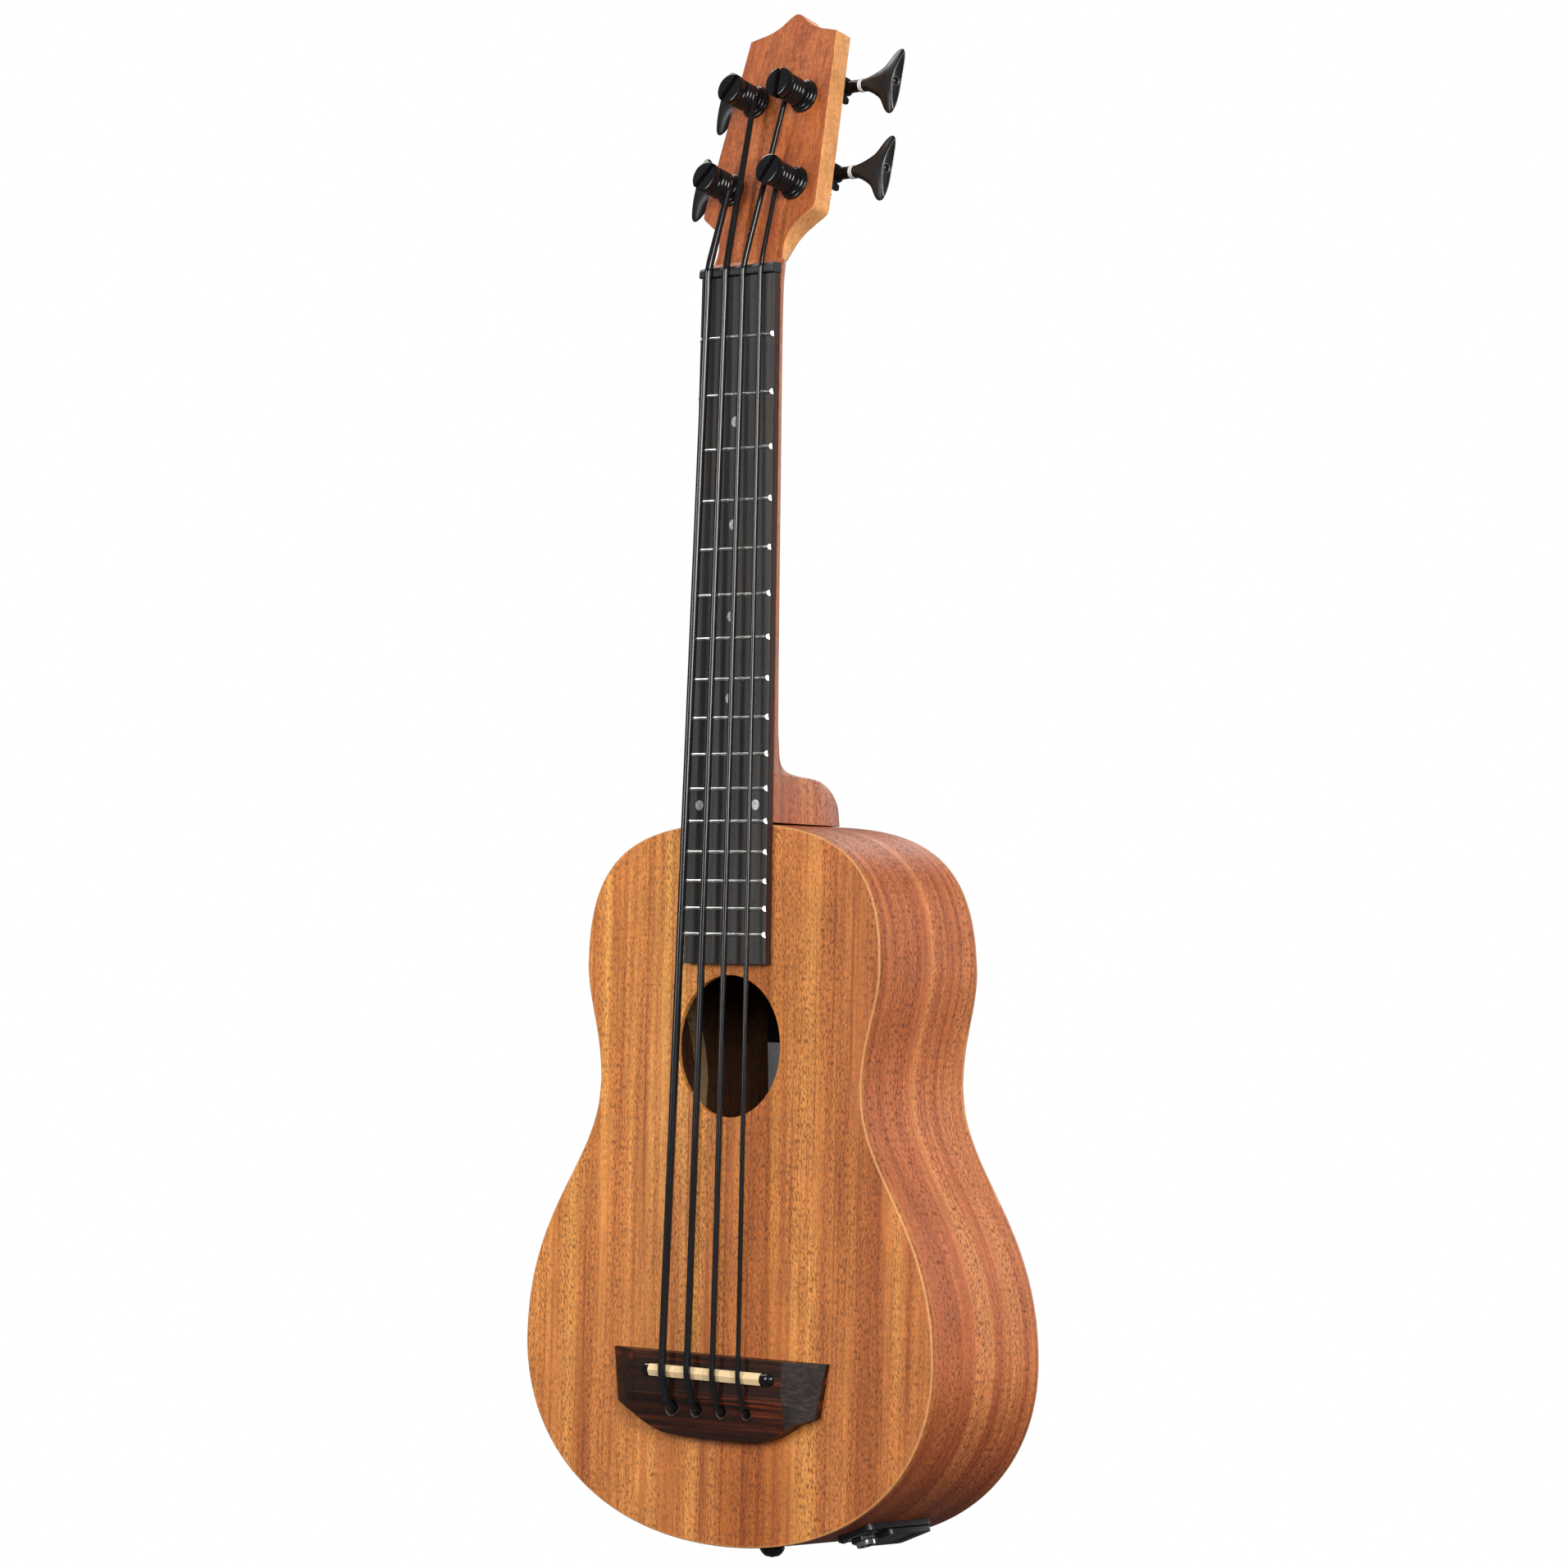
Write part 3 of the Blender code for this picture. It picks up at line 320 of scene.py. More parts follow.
def brushed(name, colour, roughness):
    """Polished metal with fine scratches."""
    g = Graph(name)
    scratches = g.noise(g.scaled(g.place(), (140, 900, 900)), 2.0)
    rough = g.span(scratches, 0.3, 0.7, roughness * 0.85, roughness * 1.2)
    return g.finish(Base_Color=colour, Metallic=1.0, Roughness=rough)


def pearl(name):
    """Mother-of-pearl: pale grey cloud with a soft gloss."""
    g = Graph(name)
    cloud = g.noise(g.scaled(g.place(), (700, 700, 420)), 3.0, 0.6, 0.8)
    shade = g.mix(g.span(cloud, 0.35, 0.65), (0.33, 0.34, 0.36), (0.66, 0.67, 0.68))
    return g.finish(Base_Color=shade, Roughness=0.25)


def bone(name, light, dark):
    """Cast ivory-coloured plastic with faint streaks."""
    g = Graph(name)
    streaks = g.noise(g.scaled(g.place(), (60, 300, 300)), 2.0)
    shade = g.mix(g.span(streaks, 0.35, 0.7), light, dark)
    return g.finish(Base_Color=shade, Roughness=0.38, Normal=g.bump(streaks, 0.1, 0.02 * MM))


def pale_spruce(name):
    """Raw spruce inside the body: pale, with darker growth lines."""
    g = Graph(name)
    place = g.place()
    lines = g.noise(g.scaled(place, (60, 900, 900)), 2.0, 0.6)
    shade = g.mix(g.span(lines, 0.4, 0.65), (0.52, 0.34, 0.17), (0.30, 0.17, 0.08))
    return g.finish(Base_Color=shade, Roughness=0.75, Normal=g.bump(lines, 0.2, 0.05 * MM))


EDGE_TINT = (0.72, 0.38, 0.16)
FINISHES = {
    # finish: (material, the record's slot)
    "top": (
        mahogany(
            "mahogany_top", (0.78, 0.342, 0.088), (0.60, 0.208, 0.053), (0.375, 0.102, 0.027),
            edge_tint=EDGE_TINT, matched_halves_painted_light=True,
        ),
        "mahogany_top",
    ),
    "body": (
        mahogany(
            "mahogany_body", (0.76, 0.285, 0.092), (0.55, 0.155, 0.050), (0.30, 0.064, 0.023),
            edge_tint=EDGE_TINT, darker_tail=True,
        ),
        "mahogany_body",
    ),
    # Inside the body: a far darker copy of the mahogany. It is painted shade for the dim inside of the box.
    "inside": (
        mahogany("mahogany_inside_painted_shade", (0.16, 0.07, 0.03), (0.10, 0.04, 0.018), (0.05, 0.018, 0.01)),
        "mahogany_body"
    ),
    "neck": (
        mahogany(
            "mahogany_neck", (0.56, 0.180, 0.049), (0.41, 0.104, 0.027), (0.26, 0.056, 0.015),
            pitted=0.45, gloss=0.3,
        ),
        "mahogany_neck",
    ),
    "neck_edge": (
        mahogany(
            "mahogany_edge", (0.85, 0.41, 0.155), (0.74, 0.325, 0.116), (0.55, 0.21, 0.068),
            figure=0.7, pitted=0.2, gloss=0.18, relief=0.05,
        ),
        "mahogany_neck",
    ),
    "board": (
        dark_wood("board", (0.034, 0.033, 0.032), (0.052, 0.048, 0.044), (0.058, 0.042, 0.034), 260, 0.5),
        "board"
    ),
    "board_side": (
        dark_wood("board_side", (0.026, 0.013, 0.011), (0.048, 0.022, 0.017), (0.07, 0.028, 0.02), 500, 0.5),
        "board",
    ),
    "rosewood": (
        dark_wood("rosewood", (0.014, 0.006, 0.004), (0.042, 0.011, 0.005), (0.20, 0.034, 0.010), 330, 0.40),
        "rosewood",
    ),
    # A greyer, rougher copy of the rosewood with finer streaks, for the treble wing only. It is painted sheen
    # where that wing faces the key light.
    "rosewood_painted_sheen": (
        dark_wood(
            "rosewood_painted_sheen", (0.018, 0.013, 0.011), (0.036, 0.026, 0.023), (0.06, 0.034, 0.028), 700, 0.66
        ),
        "rosewood",
    ),
    "spruce": (pale_spruce("spruce"), "spruce"),
    "nut": (moulded("nut_black", (0.020, 0.021, 0.023), 0.36), "nut_black"),
    "fret": (brushed("fret_wire", (0.92, 0.91, 0.88), 0.30), "fret_wire"),
    "ivory": (bone("ivory", (0.84, 0.64, 0.36), (0.79, 0.58, 0.31)), "ivory"),
    "ivory_seam": (bone("ivory_seam", (0.22, 0.09, 0.035), (0.16, 0.065, 0.03)), "ivory"),
    "string": (rubber("string_rubber", (0.007, 0.007, 0.008)), "string_rubber"),
    "tuner": (moulded("tuner_black", (0.006, 0.006, 0.007), 0.18), "tuner_black"),
    "key": (moulded("key_black", (0.010, 0.009, 0.009), 0.34, gloss=0.3), "tuner_black"),
    # A grey, slightly metallic band on the black keys: a painted highlight where their edges catch the light.
    "rim": (moulded("rim_painted_highlight", (0.16, 0.155, 0.155), 0.35, 0.4), "tuner_black"),
    "ring": (moulded("hole_ring", (0.050, 0.044, 0.041), 0.42), "rosewood"),
    "stem": (moulded("stem_bronze", (0.030, 0.019, 0.014), 0.24, 0.6), "tuner_black"),
    "gloss": (moulded("gloss_black", (0.006, 0.006, 0.007), 0.10), "black_plastic"),
    "plastic": (
        moulded("black_plastic", (0.011, 0.011, 0.012), 0.38, speckle=2400, depth=0.012), "black_plastic"
    ),
    "washer": (moulded("washer_white", (0.72, 0.70, 0.68), 0.35), "nickel"),
    "nickel": (brushed("nickel", (0.60, 0.59, 0.56), 0.18), "nickel"),
    "pearl": (pearl("pearl"), "ivory"),
    "battery": (moulded("battery_case", (0.09, 0.10, 0.12), 0.35, 0.6), "battery_case"),
    "label_dark": (moulded("label_dark", (0.008, 0.008, 0.009), 0.6), "nut_black"),
    "label_pale": (moulded("label_pale", (0.80, 0.81, 0.84), 0.6), "ivory"),
}


# ---------------------------------------------------------------- mesh tools


def piece(name, verts, faces, finish, body=ROOT, stands_for=(), sharp=35):
    """Makes a smooth-shaded piece that rides on a body and may stand for CAD nodes."""
    mesh = bpy.data.meshes.new(name)
    mesh.from_pydata([tuple(v) for v in verts], [], faces)
    bm = bmesh.new()
    bm.from_mesh(mesh)
    bmesh.ops.recalc_face_normals(bm, faces=bm.faces)
    bm.to_mesh(mesh)
    bm.free()
    material, slot = FINISHES[finish]
    mesh.materials.append(material)
    mesh.shade_smooth()
    mesh.set_sharp_from_angle(angle=math.radians(sharp))
    made = bpy.data.objects.new(name, mesh)
    bpy.context.scene.collection.objects.link(made)
    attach(made, body)
    if stands_for:
        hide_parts(*stands_for)
    return made


def loft(name, sections, finish, closed=False, **options):
    """Skins a run of loops with as many points each, and caps its ends unless it closes on itself."""
    count, size = len(sections), len(sections[0])
    verts = [point for section in sections for point in section]
    faces = []
    for i in range(count if closed else count - 1):
        k = (i + 1) % count
        for j in range(size):
            m = (j + 1) % size
            faces.append((i * size + j, i * size + m, k * size + m, k * size + j))
    if not closed:
        faces.append(tuple(range(size)))
        faces.append(tuple(range((count - 1) * size, count * size)))
    return piece(name, verts, faces, finish, **options)


def circle(radius, height, steps, turn=0.0):
    """A loop of points round the Z axis."""
    angles = [2 * math.pi * k / steps + turn for k in range(steps)]
    return [Vector((radius * math.cos(a), radius * math.sin(a), height)) for a in angles]


def turned(name, profile, place, finish, steps=48, closed=False, **options):
    """A turned solid about the place's Z axis, from (radius, height) pairs in millimetres."""
    sections = [[place @ p for p in circle(radius * MM, height * MM, steps)] for radius, height in profile]
    return loft(name, sections, finish, closed=closed, **options)


def prism(name, outline, low, high, finish, place, **options):
    """An outline of (x, y) pairs in metres extruded along the place's Z axis."""
    sections = [[place @ Vector((x, y, height)) for x, y in outline] for height in (low, high)]
    return loft(name, sections, finish, **options)


def rounded_rectangle(half_x, half_y, corner, centre=(0, 0), steps=6):
    """A rectangle's outline with round corners."""
    points = []
    for sx, sy, start in ((1, 1, 0), (-1, 1, 90), (-1, -1, 180), (1, -1, 270)):
        for k in range(steps + 1):
            angle = math.radians(start + 90 * k / steps)
            x = centre[0] + sx * (half_x - corner) + corner * math.cos(angle)
            y = centre[1] + sy * (half_y - corner) + corner * math.sin(angle)
            points.append((x, y))
    return points


def catmull(a, b, c, d, t):
    """A point on the smooth curve between b and c."""
    square, cube = 2 * a - 5 * b + 4 * c - d, 3 * b - a - 3 * c + d
    return 0.5 * (2 * b + (c - a) * t + square * t**2 + cube * t**3)


def smooth(points, steps, closed=False):
    """A smooth line through the points, with a number of steps for each stretch."""
    points = [Vector(p) for p in points]
    if closed:
        padded = [points[-1], *points, points[0], points[1]]
    else:
        padded = [2 * points[0] - points[1], *points, 2 * points[-1] - points[-2]]
    line = []
    for a, b, c, d in zip(padded, padded[1:], padded[2:], padded[3:]):
        line.extend(catmull(a, b, c, d, k / steps) for k in range(steps))
    return line if closed else [*line, points[-1]]


def tube(name, path, radii, finish, sides=20, **options):
    """A round cord along a path, with a radius for each point."""
    sections = []
    for i, point in enumerate(path):
        along = (path[min(i + 1, len(path) - 1)] - path[max(i - 1, 0)]).normalized()
        across = (Vector((1, 0, 0)) - along * along.x).normalized()
        other = along.cross(across)
        angles = [2 * math.pi * k / sides for k in range(sides)]
        sections.append([point + radii[i] * (across * math.cos(a) + other * math.sin(a)) for a in angles])
    return loft(name, sections, finish, **options)


def paint(target, finish, rule):
    """Gives the faces that fit the rule a second finish."""
    target.data.materials.append(FINISHES[finish][0])
    for face in target.data.polygons:
        if rule(face):
            face.material_index = 1
    return target


def store_grain(target, rule):
    """Stores each point's place in its board: across, through and along the grain, in metres."""
    mesh = target.data
    layer = mesh.attributes.new("grain", "FLOAT_VECTOR", "POINT")
    layer.data.foreach_set("vector", [c for v in mesh.vertices for c in rule(v.index, v.co)])
    return target


def store_edge(target, rule):
    """Stores 1 on a piece's rounded edges and 0 elsewhere."""
    mesh = target.data
    layer = mesh.attributes.new("edge", "FLOAT", "POINT")
    layer.data.foreach_set("value", [float(rule(v.index)) for v in mesh.vertices])
    return target


def along_z(index, point):
    return (point.x, point.y, point.z)


def along_x(index, point):
    return (point.z, point.y, point.x)


def soften(target, width, segments=3, angle=40):
    """Rounds a piece's sharp edges."""
    bevel = target.modifiers.new("soften", "BEVEL")
    bevel.width = width * MM
    bevel.segments = segments
    bevel.limit_method = "ANGLE"
    bevel.angle_limit = math.radians(angle)
    bevel.harden_normals = True
    return target


def carve(target, *cutters):
    """Cuts the cutters out of a piece and removes them."""
    for cutter in cutters:
        modifier = target.modifiers.new("carve", "BOOLEAN")
        modifier.operation = "DIFFERENCE"
        modifier.solver = "EXACT"
        modifier.object = cutter
    bpy.context.view_layer.update()
    evaluated = target.evaluated_get(bpy.context.evaluated_depsgraph_get())
    cut = bpy.data.meshes.new_from_object(evaluated)
    target.modifiers.clear()
    target.data = cut
    cut.set_sharp_from_angle(angle=math.radians(35))
    for cutter in cutters:
        bpy.data.objects.remove(cutter)
    return target


def screw(name, place, radius, finish, body=ROOT, turn=0.4):
    """A domed cross-head screw whose head sits on the place's XY plane."""
    head = (
        (radius, -0.4), (radius, 0.15), (radius * 0.93, 0.45), (radius * 0.7, 0.75),
        (radius * 0.35, 0.92), (0.05, 0.95)
    )
    made = turned(name, head, place, finish, steps=24, body=body)
    arms = []
    for k in range(2):
        spin = place @ Matrix.Rotation(turn + k * math.pi / 2, 4, "Z")
        arm = rounded_rectangle(radius * 0.62 * MM, 0.24 * MM, 0.1 * MM, steps=1)
        arms.append(prism(f"cut_{name}_{k}", arm, 0.35 * MM, 3 * MM, finish, spin, body=body))
    return carve(made, *arms)


# ---------------------------------------------------------------- body


def body_rim():
    """The body's outline as (x, z), clockwise from the neck joint, at its widest."""
    farthest = {}
    for vertex in NODES["back_plate"].data.vertices:
        x, z = vertex.co.x, vertex.co.z - DISH_CENTRE
        key = round(math.degrees(math.atan2(x, z)) % 360, 1)
        if key not in farthest or x * x + z * z > farthest[key][0]:
            farthest[key] = (x * x + z * z, (vertex.co.x, vertex.co.z))
    rim = []
    for key in sorted(farthest):
        point = Vector(farthest[key][1])
        if not rim or (point - rim[-1]).length > 2 * MM:
            rim.append(point)
    if (rim[0] - rim[-1]).length < 2 * MM:
        rim.pop()
    return rim


RIM = smooth(body_rim(), 6, closed=True)


def inset_rim(distance):
    """The outline moved inwards."""
    moved = []
    for i, point in enumerate(RIM):
        along = (RIM[(i + 1) % len(RIM)] - RIM[i - 1]).normalized()
        moved.append(Vector((point.x + along.y * distance, point.y - along.x * distance)))
    return moved


def back_surface(x, z):
    """How far back the dished back's outer face is at a point."""
    dish = (x**2 + (z - DISH_CENTRE) ** 2) / (2 * BACK_RADIUS)
    return TOP_FRONT + BACK_DEPTH - BACK_TAPER * (z + 281 * MM) - dish


EDGE_ROUND = (
    # share of the rounding inwards, share of the rounding down the side
    (0.0, 1.0),
    (0.08, 0.62),
    (0.29, 0.29),
    (0.62, 0.08),
    (1.0, 0.0),
)


def make_top():
    """The soundboard with a softened outer edge and a crisp soundhole."""
    radius, hole_radius = 0.8 * MM, 0.4 * MM
    centre = Vector((0, HOLE_Z))
    loops = [(inset_rim(0), TOP_BACK)]
    loops += [(inset_rim(radius * inwards), TOP_FRONT + radius * down) for inwards, down in EDGE_ROUND]
    loops.append((inset_rim(radius + 0.25 * MM), TOP_FRONT))
    plain = len(loops) - 1
    rays = [(p - centre).normalized() for p in RIM]
    for inwards, down in reversed(EDGE_ROUND):
        ring = [centre + ray * (HOLE_RADIUS + hole_radius * inwards) for ray in rays]
        loops.append((ring, TOP_FRONT + hole_radius * down))
    loops.append(([centre + ray * HOLE_RADIUS for ray in rays], TOP_BACK))
    sections = [[Vector((p.x, y, p.y)) for p in loop] for loop, y in loops]
    top = loft("top_board", sections, "top", closed=True, stands_for=("soundboard",))
    size = len(RIM)
    store_grain(top, along_z)
    store_edge(top, lambda index: 1 < index // size < plain)


def make_back():
    """The dished back plate with a softened edge."""
    radius = 0.8 * MM
    shares = [0.97 - 0.95 * (k / 9) ** 1.2 for k in range(10)]
    sections = []

    def skin(loop, depth):
        return [Vector((p.x, back_surface(p.x, p.y) - depth, p.y)) for p in loop]

    def scaled(share):
        return [Vector((p.x * share, DISH_CENTRE + (p.y - DISH_CENTRE) * share)) for p in RIM]

    for share in reversed(shares):
        sections.append(skin(scaled(share), PLATE))
    sections.append(skin(inset_rim(0), PLATE))
    for inwards, down in EDGE_ROUND:
        sections.append(skin(inset_rim(radius * inwards), radius * down))
    sections.append(skin(inset_rim(radius + 0.25 * MM), 0))
    for share in shares:
        sections.append(skin(scaled(share), 0))
    back = loft("back_board", sections, "body", stands_for=("back_plate",))
    size, first = len(RIM), len(shares) + 1
    store_grain(back, lambda index, p: (abs(p.x) + 0.31, p.y, p.z))
    # The back's inner face gets the darker inside finish, which is painted shade.
    paint(back, "inside", lambda face: max(face.vertices) < first * size)
    store_edge(back, lambda index: first <= index // size < first + len(EDGE_ROUND))


def make_side(name, sign, stands_for):
    """One bent side. Its grain follows the bend."""
    half = len(RIM) // 2
    order = list(range(half + 1)) if sign > 0 else [-k for k in range(half + 1)]
    outer_rim, inner_rim = inset_rim(0), inset_rim(RIB)
    sections, run, length = [], [], 0.0
    front = TOP_BACK + SEAM
    for step, k in enumerate(order):
        outer, inner = outer_rim[k % len(RIM)], inner_rim[k % len(RIM)]
        if step:
            length += (outer - outer_rim[order[step - 1] % len(RIM)]).length
        run.append(length)
        ends = (sign * max(sign * outer.x, SEAM / 2), sign * max(sign * inner.x, SEAM / 2))
        back_out = back_surface(outer.x, outer.y) - PLATE - SEAM
        back_in = back_surface(inner.x, inner.y) - PLATE - SEAM
        sections.append(
            [
                Vector((ends[0], front, outer.y)),
                Vector((ends[0], (front + back_out) / 2, outer.y)),
                Vector((ends[0], back_out, outer.y)),
                Vector((ends[1], back_in, inner.y)),
                Vector((ends[1], front, inner.y)),
            ]
        )
    side = loft(name, sections, "body", stands_for=stands_for)
    # The side's inner face gets the darker inside finish, which is painted shade.
    paint(side, "inside", lambda face: {v % 5 for v in face.vertices} == {3, 4})
    if sign > 0:
        window = rounded_rectangle(*DRAWER_WINDOW, 0.5 * MM, (0, DRAWER_Y), steps=2)
        carve(side, prism("cut_side_drawer", window, -60 * MM, 20 * MM, "body", JACK))
    bend = [outer_rim[k % len(RIM)] for k in order]

    def along_bend(point):
        """How far along the bent side a point is."""
        best, place = math.inf, 0.0
        for start, end, done in zip(bend, bend[1:], run):
            step = end - start
            share = min(max((Vector((point.x, point.z)) - start).dot(step) / step.length_squared, 0), 1)
            distance = (Vector((point.x, point.z)) - start - step * share).length
            if distance < best:
                best, place = distance, done + share * step.length
        return place

    store_grain(side, lambda index, p: (p.y + 0.13 * sign, 0.0, along_bend(p)))
    store_edge(side, lambda index: False)


def make_label():
    """The plain paper label glued inside the back, a dark band over a pale one."""
    split, left, right = -371 * MM, -41 * MM, 27 * MM
    for name, low, high, finish in (
        ("label_upper", split, -338 * MM, "label_dark"),
        ("label_lower", -418 * MM, split, "label_pale"),
    ):
        sections = []
        for k in range(9):
            x = left + (right - left) * k / 8
            depths = [back_surface(x, z) - PLATE for z in (low, high)]
            thick = 0.25 * MM
            sections.append(
                [
                    Vector((x, depths[0] - thick, low)),
                    Vector((x, depths[1] - thick, high)),
                    Vector((x, depths[1] - 0.05 * MM, high)),
                    Vector((x, depths[0] - 0.05 * MM, low)),
                ]
            )
        loft(name, sections, finish)


# ---------------------------------------------------------------- neck


def board_half_width(z):
    """Half the fingerboard's width at a height."""
    return (NUT_WIDTH + (TWELFTH_WIDTH - NUT_WIDTH) * -z / (SCALE_LENGTH / 2)) / 2


def neck_section(half_width, back_width, depth, roundness, steps=44):
    """A flat-topped cross section: two front corners and a superellipse behind them."""
    points = []
    for k in range(steps + 1):
        angle = math.pi * k / steps
        share = math.sin(angle) ** (2 / roundness)
        reach = math.copysign(abs(math.cos(angle)) ** (2 / roundness), math.cos(angle))
        points.append((reach * (half_width + (back_width - half_width) * share), depth * share))
    return points


def head_section(half_width, depth):
    """A headstock cross section: a rectangle with a fine front edge and a softer back edge, 45 points."""
    front, rear, hold = min(0.5 * MM, half_width * 0.3), min(1.2 * MM, half_width * 0.4), 0.12 * MM
    right = [(half_width - front - hold, 0)]
    for k in range(5):
        angle = math.radians(90 * k / 4)
        right.append((half_width - front + front * math.sin(angle), front - front * math.cos(angle)))
    right += [(half_width, front + hold), (half_width, depth - rear - hold)]
    for k in range(9):
        angle = math.radians(90 * k / 8)
        right.append((half_width - rear + rear * math.cos(angle), depth - rear + rear * math.sin(angle)))
    inner = half_width - rear - min(hold, half_width * 0.1)
    right += [(inner * share, depth) for share in (1.0, 0.8, 0.6, 0.4, 0.2)]
    return [*right, (0, depth), *((-x, y) for x, y in reversed(right))]


FLARE = (
    (9, 22.8), (13, 22.1), (17, 22), (21, 23), (25.4, 25.6), (29, 29.8), (31.8, 33.9), (33.4, 36.1),
    (34.8, 37.2),
    (37, 37.45),
)
CROWN = (
    (126.4, 28.9), (127.4, 24.5), (128.8, 18), (130.8, 12.4), (133.6, 7.8), (136.2, 4.6), (137.5, 2.2),
    (137.9, 0.4)
)
SHAFT = (
    # z, depth, roundness
    (NUT_LENGTH / MM + 0.2, 12.6, 2.1),
    (-8, 12.6, 1.8),
    (-40, 12.8, 1.7),
    (-130, 13.8, 1.7),
    (-210, 15.2, 1.7),
    (-226, 15.8, 1.8),
)
HEEL = (
    # z, depth, back half-width, roundness
    (-233, 17.5, 23, 2.1),
    (-237, 20.5, 20, 2.6),
    (-239.6, 25, 18.5, 3.2),
    (-241.2, 33, 17.5, 4),
    (-242, 42.5, 17, 5),
    (-243.2, 49, 17, 5.5),
    (-246.5, 55.5, 17, 5.5),
    (-251, 60, 17, 5.5),
    (-256, 62.6, 17, 5.5),
    (-264.5, 64, 17, 5.5),
)


def make_neck():
    """The carved neck: headstock, shaft and heel. The headstock's edges are paler than its face."""
    crown = smooth([Vector((*row, 0)) for row in CROWN], 4)
    flare = smooth([Vector((*row, 0)) for row in FLARE], 4)
    rows = [(p.x, p.y) for p in reversed(crown)]
    rows += [(80, 33.4)]
    rows += [(p.x, p.y) for p in reversed(flare)]
    sections = []
    for s, half in rows:
        round_ring = neck_section(
            half * MM, half * MM, HEAD_THICKNESS, min(2.1 * math.exp(0.118 * (s - 9)), 20)
        )
        square_ring = head_section(half * MM, HEAD_THICKNESS)
        share = min(max((s - 21) / 8, 0), 1)
        ring = [Vector(a).lerp(Vector(b), share) for a, b in zip(round_ring, square_ring)]
        sections.append([HEAD @ Vector((x, y, s * MM)) for x, y in ring])
    head_rows = len(sections)
    shaft = [(z, depth, board_half_width(min(z, 0) * MM) / MM, soft) for z, depth, soft in SHAFT]
    for row in smooth([Vector(row) for row in (*shaft, *HEEL)], 4):
        z, depth, back_width, soft = row
        ring = neck_section(board_half_width(min(z, 0) * MM), back_width * MM, depth * MM, soft)
        sections.append([Vector((x, TOP_FRONT + y, z * MM)) for x, y in ring])
    neck = loft("neck_wood", sections, "neck", stands_for=("neck",), sharp=30)
    size = len(sections[0])
    backward = HEAD.to_3x3() @ Vector((0, 1, 0))
    paint(
        neck, "neck_edge",
        lambda face: min(face.vertices) // size + 1 < head_rows
        and abs(face.normal.dot(backward)) < 0.7,
    )
    store_grain(neck, lambda index, p: (p.x + 0.57, p.y, p.z))


def fret_z(number):
    """How far down the neck a fret is."""
    return -SCALE_LENGTH * (1 - 0.5 ** (number / 12))


def make_fingerboard():
    """The dark fingerboard with its dot inlays and side dots."""
    top = -0.1 * MM
    depth = TOP_FRONT - SEAM
    outline = [(-board_half_width(top), top), (board_half_width(top), top)]
    outline += [(board_half_width(BOARD_END), BOARD_END), (-board_half_width(BOARD_END), BOARD_END)]
    sections = [[Vector((x, y, z)) for x, z in outline] for y in (0, depth)]
    board = loft("playing_board", sections, "board", stands_for=("fingerboard",))
    store_grain(board, along_z)
    paint(board, "board_side", lambda face: abs(face.normal.x) > 0.9)
    soften(board, 0.35, 3)
    wide = 18.8 * MM
    for number, places in ((3, (0,)), (5, (0,)), (7, (0,)), (9, (0,)), (12, (-wide, wide))):
        z = (fret_z(number) + fret_z(number - 1)) / 2
        for k, x in enumerate(places):
            face = Matrix.Translation((x, 0, z)) @ Matrix.Rotation(math.pi / 2, 4, "X")
            turned(f"dot_{number:02d}_{k}", ((2.5, -0.6), (2.5, 0.02), (2.42, 0.04)), face, "pearl")
            side_z = z + (4 * MM * (k - 0.5) if len(places) > 1 else 0)
            side = Matrix.Translation((-board_half_width(side_z), 2 * MM, side_z))
            side = side @ Matrix.Rotation(-math.pi / 2, 4, "Y")
            turned(
                f"side_dot_{number:02d}_{k}", ((1, -0.6), (1, 0.03), (0.95, 0.05)), side, "pearl",
                steps=24
            )


def make_frets():
    """The frets: a narrow round crown on the board whose ends are filed to a slope and flare a little."""
    crown, width, slope = 1.1 * MM, 1.0 * MM, 0.83
    for number in range(1, FRET_COUNT + 1):
        z = fret_z(number)
        half = board_half_width(z) - 0.2 * MM
        arc = [math.pi * k / 16 for k in range(17)]
        rim = [(width * math.cos(a), -crown * math.sin(a) ** 0.8) for a in arc]
        profile = [(width, 0.3 * MM), *rim, (-width, 0.3 * MM)]
        sections = []
        stations = ((0, 1.3), (0.9, 1.08), (1.9, 0.88), (3.0, 0.8))
        for side, rows in ((-1, stations), (1, reversed(stations))):
            for inset, flare in rows:
                ring = []
                for dz, y in profile:
                    reach = half - inset * MM
                    if inset == 0:
                        reach += slope * min(y, 0) - 0.14 * dz * flare
                    ring.append(Vector((side * reach, y, z + dz * flare)))
                sections.append(ring)
        loft(f"fret_{number:02d}_wire", sections, "fret", stands_for=(f"fret_{number:02d}",), sharp=45)


def string_x(name, spacing):
    """Where a string is across the instrument, for a spacing."""
    return ("eadg".index(name) - 1.5) * spacing


